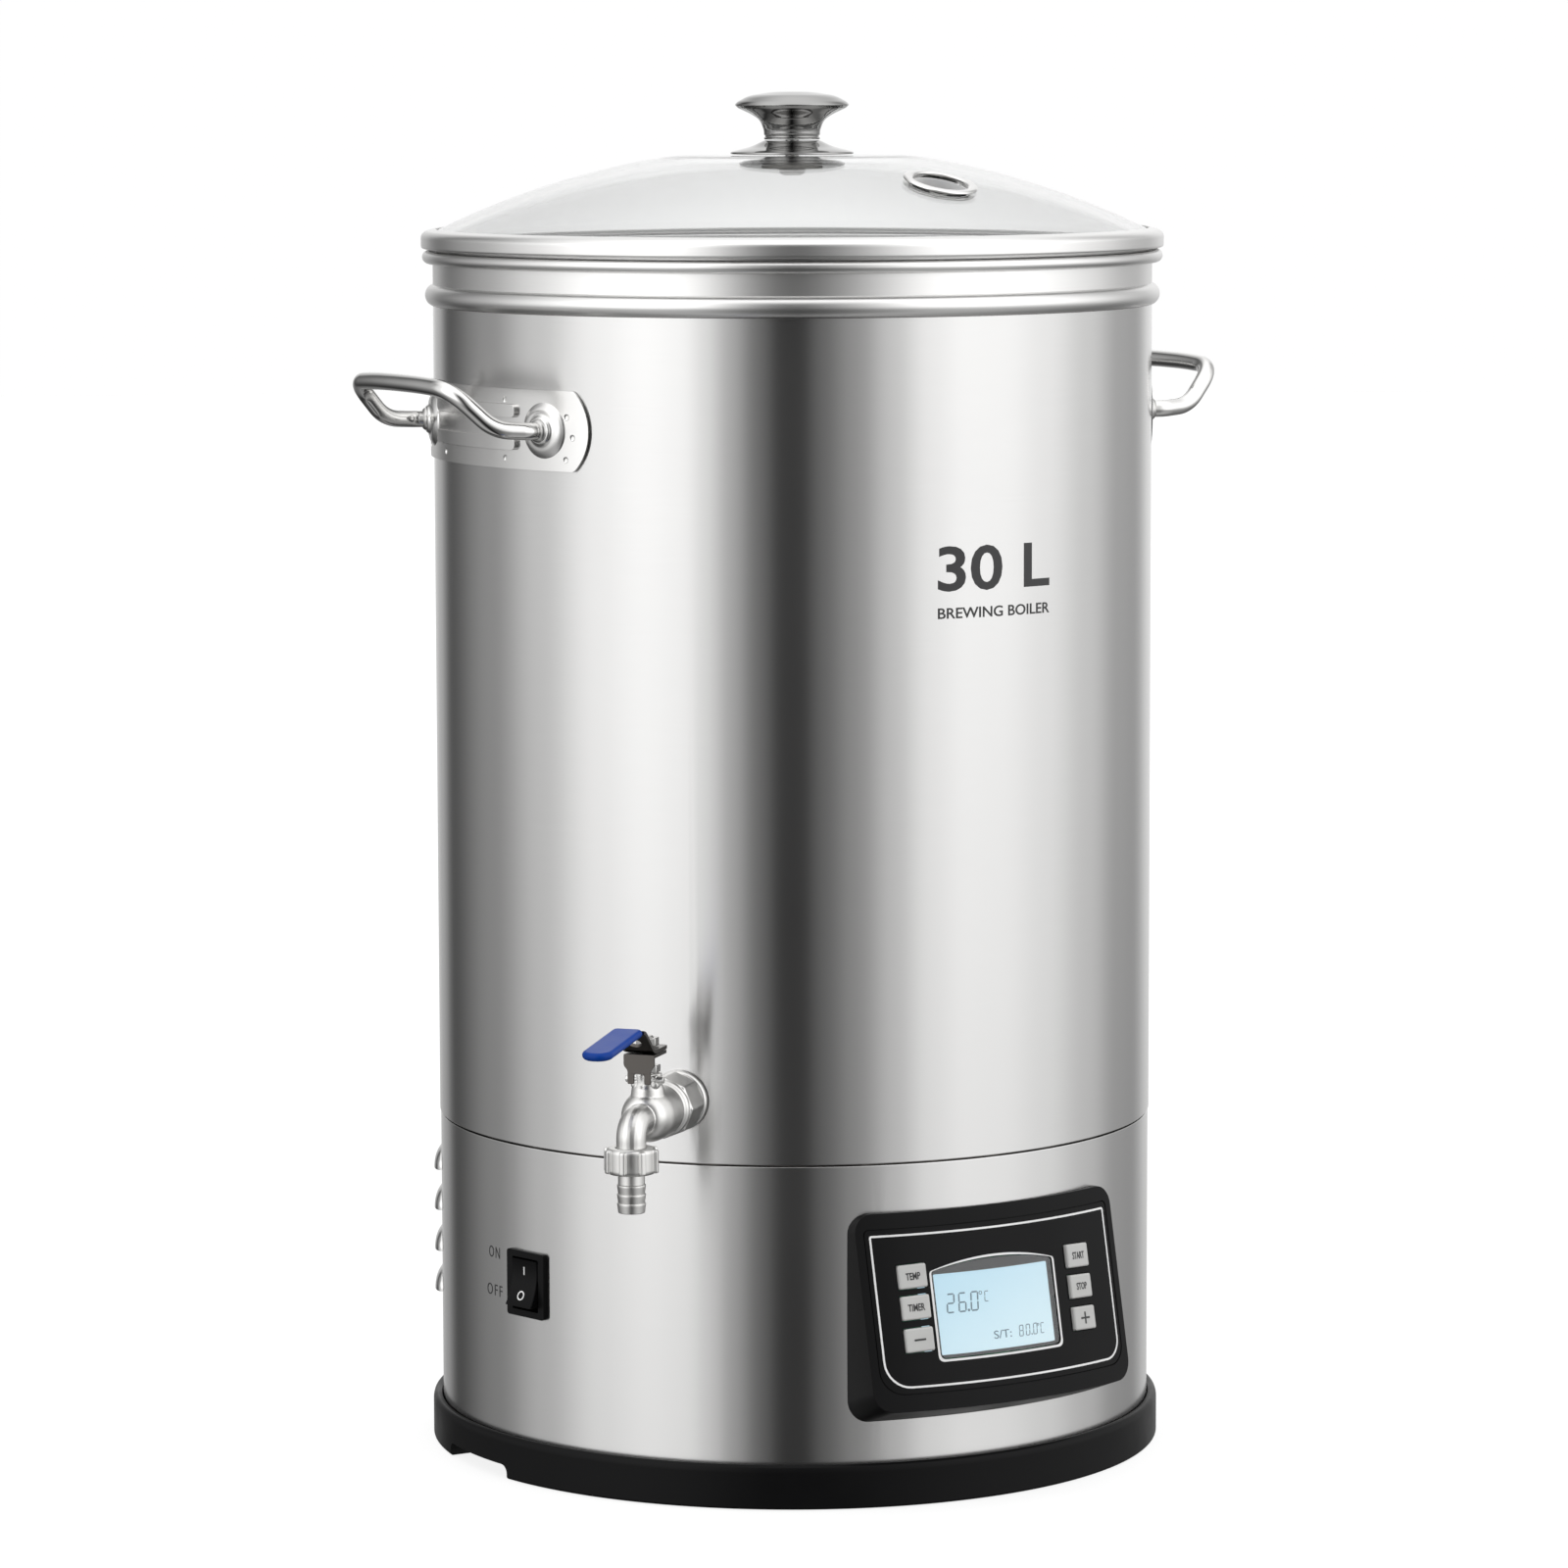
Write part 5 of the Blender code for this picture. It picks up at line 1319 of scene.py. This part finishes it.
def lid():
    outer, inner = [(4.3, LID_FLAT)], [(4.3, LID_FLAT - GLASS)]
    for count in range(41):
        reach, height = on_dome(26.4 + 3.5 * count)
        outer.append((reach, eased_under(height, LID_FLAT)))
        reach, height = on_dome(26.4 + 3.5 * count, GLASS)
        inner.append((reach, eased_under(height, LID_FLAT - GLASS)))
    glass = turned("dome_glass", outer + inner[::-1], ROUND)
    guide = vent_frame()
    cut(glass, bar("vent_way", (0, 0, -20), (0, 0, 20), 13.8, 96, parent=guide))
    shown(glass, LID_GLASS, "lid_glass", crease=40)
    rim = turned("dome_rim", [
        (163.6, 561.1, 0.2), (168.4, 560.1, 1.6), (LID_RADIUS, 558.2, 1.2), (LID_RADIUS, 552.2, 1.3),
        (163.3, 552.2, 0.3), (163.1, 546.0, 0.3), (162.1, 546.0, 0.3), (161.9, 552.8), (160.6, 552.8),
        (160.6, 554.2), (168.6, 554.2), (168.6, 559.0), (163.6, 560.4)], ROUND)
    shown(rim, SATIN, "lid_rim", crease=30)
    eyelet = turned("vent_eyelet", [
        (12.4, 1.2, 0.6), (13.6, 1.8, 1.0), (16.0, 1.8, 1.2), (17.0, 1.0, 0.5), (16.8, 0.4, 0.3),
        (13.4, 0.4, 0.2), (13.4, -4.6, 0.2), (15.8, -4.6, 0.3), (15.8, -5.4, 0.4), (12.9, -5.4, 0.4),
        (12.9, 0.6, 0.4)],
                    parent=guide)
    shown(eyelet, MIRROR, "vent_grommet", crease=40)
    # Painted reflection: a white ring in the lower part of the vent's bore, standing in for the bright
    # reflection in the grommet's inner wall.
    painted_reflection_ring = turned("vent_lining", [(12.5, -1.0, 0.3), (12.85, -1.0), (12.85, -5.3), (12.5, -5.3, 0.3)],
                    parent=guide)
    shown(painted_reflection_ring, WHITE_INK, body="lid")


def knob():
    under = LID_FLAT - GLASS
    flange = turned("knob_skirt", [
        (4.4, 600.8), (13.0, 600.8, 0.6), (18.5, 598.1, 5.0), (26.0, 596.3, 3.0), (28.3, 595.5, 0.5),
        (28.3, 594.6, 0.3), (4.4, 594.6)], fine=8)
    shown(flange, SHADED_CHROME, "knob_flange", crease=40)
    body = turned("knob_body", [
        (0, KNOB_TOP), (9, KNOB_TOP - 0.1, 5), (20, 621.3, 8), (25.2, 618.4, 1.4), (26.3, 617.0, 0.5),
        (24.8, 615.5, 0.8), (18.5, 612.6, 5.0), (14.6, 610.0, 2.4), (13.0, 605.4, 3.0), (12.9, 603.4),
        (12.4, 603.0, 0.3), (12.4, 602.4, 0.3), (12.9, 602.0), (12.8, 601.2), (3.4, 601.2), (3.4, 612.0),
        (0, 612.0)], closed=False, fine=8)
    shown(body, SHADED_CHROME, "knob", crease=50)
    washer = turned("knob_gasket", [(3.6, under - 0.4, 0.3), (14, under - 0.4, 0.5), (14, under - 1.9, 0.5),
                                    (3.6, under - 1.9, 0.3)])
    shown(washer, SILICONE, "knob_washer")
    screw = turned("knob_bolt", [(0, 611.4), (3.0, 611.4, 0.4), (3.0, under - 2.2), (6.0, under - 2.2, 0.3),
                                 (6.0, under - 4.4, 1.5), (3.5, under - 5.4, 0.8), (0, under - 5.4)], 48,
                   False)
    for turn in (0, 90):
        cut(screw, block(f"knob_drive_{turn}", (5.0, 1.1, 2.4), at=(0, 0, under - 5.3), turn=(0, 0, turn)))
    shown(screw, STEEL, "knob_screw")


# ---------------------------------------------------------------- basket and inside pieces

def basket():
    """The malt basket: a rolled steel wall on a perforated floor, with two lifting loops."""
    wall, inner = BASKET_RADIUS, BASKET_RADIUS - SHEET
    top, bottom = high("basket_body").z, 195.8
    body = turned("basket_wall", [
        (138, 197.0, 0.3), (inner, 197.0, 0.6), (inner, top, 0.6), (wall, top, 0.6),
        (wall + 2.4, top - 1.2, 1.2), (wall + 2.4, top - 4.2, 1.2), (wall, top - 5.3, 0.4),
        (wall, bottom, 0.8), (138, bottom, 0.3)],
                  ROUND)
    for count in range(4):
        guide = empty(f"foot_frame_{count}", turn=(0, 0, 90 * count))
        join(body, block(f"foot_{count}", (18, 1.6, 44), 0.5, parent=guide, at=(0, -wall - 0.2, 184.2)))
    shown(body, SATIN, "basket_body", crease=30)
    holes = [circle(0, 0, 1.6, 10)]
    for ring in range(1, 17):
        count = 6 * ring
        for number in range(count):
            angle = math.tau * number / count
            holes.append(circle(8.4 * ring * math.sin(angle), 8.4 * ring * math.cos(angle), 1.6, 10))
    floor = flat("basket_sieve", [circle(0, 0, inner - 0.8, ROUND), *holes], 1.4)
    placed(floor, at=(0, 0, 198.1))
    shown(floor, POLISHED, "basket_floor")
    for side, turn in (("front", 0), ("rear", 180)):
        reach = 138.2
        bottom, top = low(f"basket_loop_{side}").z, high(f"basket_loop_{side}").z - 2.6
        corners = [(-34, -reach, bottom), (-34, -reach, top), (34, -reach, top), (34, -reach, bottom)]
        loop = wire(f"lifting_loop_{side}", filleted(corners, 12.0), 2.6, 6, turn=(0, 0, turn))
        shown(loop, POLISHED, f"basket_loop_{side}", crease=50)


def heater():
    """The plate, its element and the probe, in finer shapes than the model's."""
    bottom = low("heater_disc").z
    disc = turned("heater_plate", [(0, 160.3), (138, 160.3, 0.6), (138, bottom, 1.5), (0, bottom)], ROUND,
                  False)
    cut(disc, bar("probe_way", (0, -60, 140), (0, -60, 170), 4.0))
    shown(disc, ALUMINIUM, "heater_disc")
    gap, reach, height = 28, 92, bottom - 4.6
    turns = [(reach * math.sin(math.radians(a)), -reach * math.cos(math.radians(a)), height)
             for a in range(180 + gap, 540 - gap + 1, 4)]
    first = filleted([(*turns[0][:2], height - 18), turns[0], turns[2]], 8.0)
    last = filleted([(*turns[-1][:2], height - 18), turns[-1], turns[-3]], 8.0)
    shown(wire("element_tube", first + turns[3:-3] + last[::-1], 4.0), STEEL, "heating_element", crease=50)
    probe = turned("probe_tube", [
        (0, 185.0), (1.2, 184.9, 0.5), (2.8, 182.8, 1.5), (2.8, 165.5), (5.5, 165.5, 0.5), (5.5, 162.2, 0.4),
        (2.8, 162.2), (2.8, 147.0), (4.4, 147.0, 0.4), (4.4, 143.0, 0.4), (0, 143.0)], 48, False,
                   at=(0, -60, 0))
    shown(probe, POLISHED, "temperature_probe", crease=40)


def plain_nodes():
    """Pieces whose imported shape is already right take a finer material."""
    looks = {
        "joining_ring": DARK_STEEL, "insulation_wrap": FELT, "thermal_cutout": BLACK, "power_board": BOARD,
        "control_board": BOARD, "heat_sink": ALUMINIUM,
    }
    for node, look in looks.items():
        obj = frame["nodes"][node]
        obj.data.materials.clear()
        obj.data.materials.append(look)


# ---------------------------------------------------------------- studio

CAMERA_AZIMUTH = -33.0  # the side that the pot is seen from
CAMERA_REACH = 2846.35
CAMERA_HEIGHT = 638.87
CAMERA_PITCH, CAMERA_YAW, CAMERA_ROLL = 6.715, -0.089, -0.145
CAMERA_LENS = 141.83


def camera():
    made = bpy.data.objects.new("camera", bpy.data.cameras.new("camera"))
    bpy.context.scene.collection.objects.link(made)
    made.data.sensor_width = 36.0
    made.data.lens = CAMERA_LENS
    made.data.clip_start, made.data.clip_end = 0.05, 60.0
    pitch, yaw, roll = (math.radians(a) for a in (CAMERA_PITCH, CAMERA_YAW, CAMERA_ROLL))
    forward = Vector((math.sin(yaw) * math.cos(pitch), math.cos(yaw) * math.cos(pitch), -math.sin(pitch)))
    level = Vector((math.cos(yaw), -math.sin(yaw), 0))
    above = level.cross(forward)
    right = level * math.cos(roll) + above * math.sin(roll)
    up = right.cross(forward)
    turn = Matrix.Rotation(math.radians(CAMERA_AZIMUTH), 4, "Z")
    axes = Matrix((right, up, -forward)).transposed().to_4x4()
    made.matrix_world = turn @ Matrix.Translation(Vector((0, -CAMERA_REACH, CAMERA_HEIGHT)) * MM) @ axes
    bpy.context.scene.camera = made


# Brightness of the studio by direction, in degrees round the pot from the camera's side
STUDIO = ((-180, 1.10), (-157, 0.62), (-143, 0.14), (-112, 0.50), (-88, 1.08), (-65, 1.78), (-48, 2.00),
          (-35, 1.88), (-27, 1.40), (-20, 0.80), (-11, 0.28), (-4, 0.06), (3, 0.06), (9, 0.24), (20, 0.54),
          (32, 1.10), (44, 1.68), (56, 1.90), (70, 1.86), (88, 1.60), (108, 1.14), (128, 0.66), (142, 0.57),
          (160, 1.00), (180, 1.10))


def studio_light():
    """Soft boxes on both sides of the pot and dark gaps between them, as a world of vertical bands."""
    world = bpy.data.worlds.new("studio")
    bpy.context.scene.world = world
    world.use_nodes = True
    tree = world.node_tree
    nodes = tree.nodes
    nodes.clear()

    def math_node(operation, first, second=None):
        node = nodes.new("ShaderNodeMath")
        node.operation = operation
        for socket, value in zip(node.inputs, (first, second)):
            if isinstance(value, bpy.types.NodeSocket):
                tree.links.new(value, socket)
            elif value is not None:
                socket.default_value = value
        return node.outputs[0]

    separate = nodes.new("ShaderNodeSeparateXYZ")
    tree.links.new(nodes.new("ShaderNodeTexCoord").outputs["Generated"], separate.inputs[0])
    angle = math_node("ARCTAN2", separate.outputs["X"], math_node("MULTIPLY", separate.outputs["Y"], -1.0))
    turns = math_node("DIVIDE", math_node("SUBTRACT", angle, math.radians(CAMERA_AZIMUTH)), math.tau)
    share = math_node("FRACT", math_node("ADD", turns, 0.5))
    ramp = nodes.new("ShaderNodeValToRGB")
    ramp.color_ramp.interpolation = "EASE"
    stops = ramp.color_ramp.elements
    while len(stops) < len(STUDIO):
        stops.new(0.5)
    brightest = max(value for _, value in STUDIO)
    for stop, (degrees, value) in zip(stops, STUDIO):
        stop.position = degrees / 360 + 0.5
        stop.color = (*(value / brightest,) * 3, 1)
    tree.links.new(share, ramp.inputs["Fac"])

    def eased(low_in, high_in, low_out):
        node = nodes.new("ShaderNodeMapRange")
        node.interpolation_type = "SMOOTHSTEP"
        for socket, value in zip(("From Min", "From Max", "To Min"), (low_in, high_in, low_out)):
            node.inputs[socket].default_value = value
        tree.links.new(separate.outputs["Z"], node.inputs["Value"])
        return node.outputs["Result"]

    mix = nodes.new("ShaderNodeMix")
    mix.data_type = "RGBA"
    tree.links.new(eased(0.55, 0.95, 0.0), mix.inputs["Factor"])
    tree.links.new(ramp.outputs["Color"], mix.inputs["A"])
    mix.inputs["B"].default_value = (0.75, 0.75, 0.75, 1)
    background = nodes.new("ShaderNodeBackground")
    tree.links.new(math_node("MULTIPLY", eased(-0.50, 0.12, 0.25), brightest), background.inputs["Strength"])
    tree.links.new(mix.outputs["Result"], background.inputs["Color"])
    output = nodes.new("ShaderNodeOutputWorld")
    tree.links.new(background.outputs["Background"], output.inputs["Surface"])


def pale(name, colour, glow):
    """A pale matt surface that also glows a little, so that it stays even."""
    recipe = Recipe(name)
    recipe.set(roughness=0.9, specular_ior_level=0.1)
    recipe.coloured_by(recipe.noise(3.0), [c * 0.99 for c in colour], colour)
    recipe.shader.inputs["Emission Color"].default_value = (1, 1, 1, 1)
    recipe.shader.inputs["Emission Strength"].default_value = glow
    return recipe.made


def backdrop():
    """A pale floor under the pot and a white studio wall round it, which only the camera sees."""
    floor = flat("studio_floor", [circle(0, 0, 9000, 128)], 2.0)
    placed(floor, at=(0, 0, -1.4))
    wall = filled("studio_wall", lambda shape: bmesh.ops.create_uvsphere(
        shape, u_segments=64, v_segments=32, radius=12000))
    for obj, look in ((floor, pale("studio_floor", (0.20, 0.20, 0.20), 0.84)),
                      (wall, pale("studio_wall", (0, 0, 0), 1.0))):
        CUTTERS.objects.unlink(obj)
        LOOKS.objects.link(obj)
        obj.hide_render = False
        obj.data.materials.append(look)
        obj.visible_glossy = False
        obj.visible_diffuse = False
    wall.visible_shadow = False


def colours():
    """Plain colour output, so that the pale backdrop stays white."""
    bpy.context.scene.view_settings.view_transform = "Standard"


# ---------------------------------------------------------------- assembly

camera()
studio_light()
backdrop()
colours()

base_ring()
bottom_cover()
base_shell()
panel_housing()
panel_print()
keys()
screen()
rocker_switch()
mains_inlet()
capacity_print()
pot_walls()
inner_kettle()
handles()
tap()
lid()
knob()
basket()
heater()
plain_nodes()

for guide in list(CUTTERS.objects):
    bpy.data.objects.remove(guide, do_unlink=True)
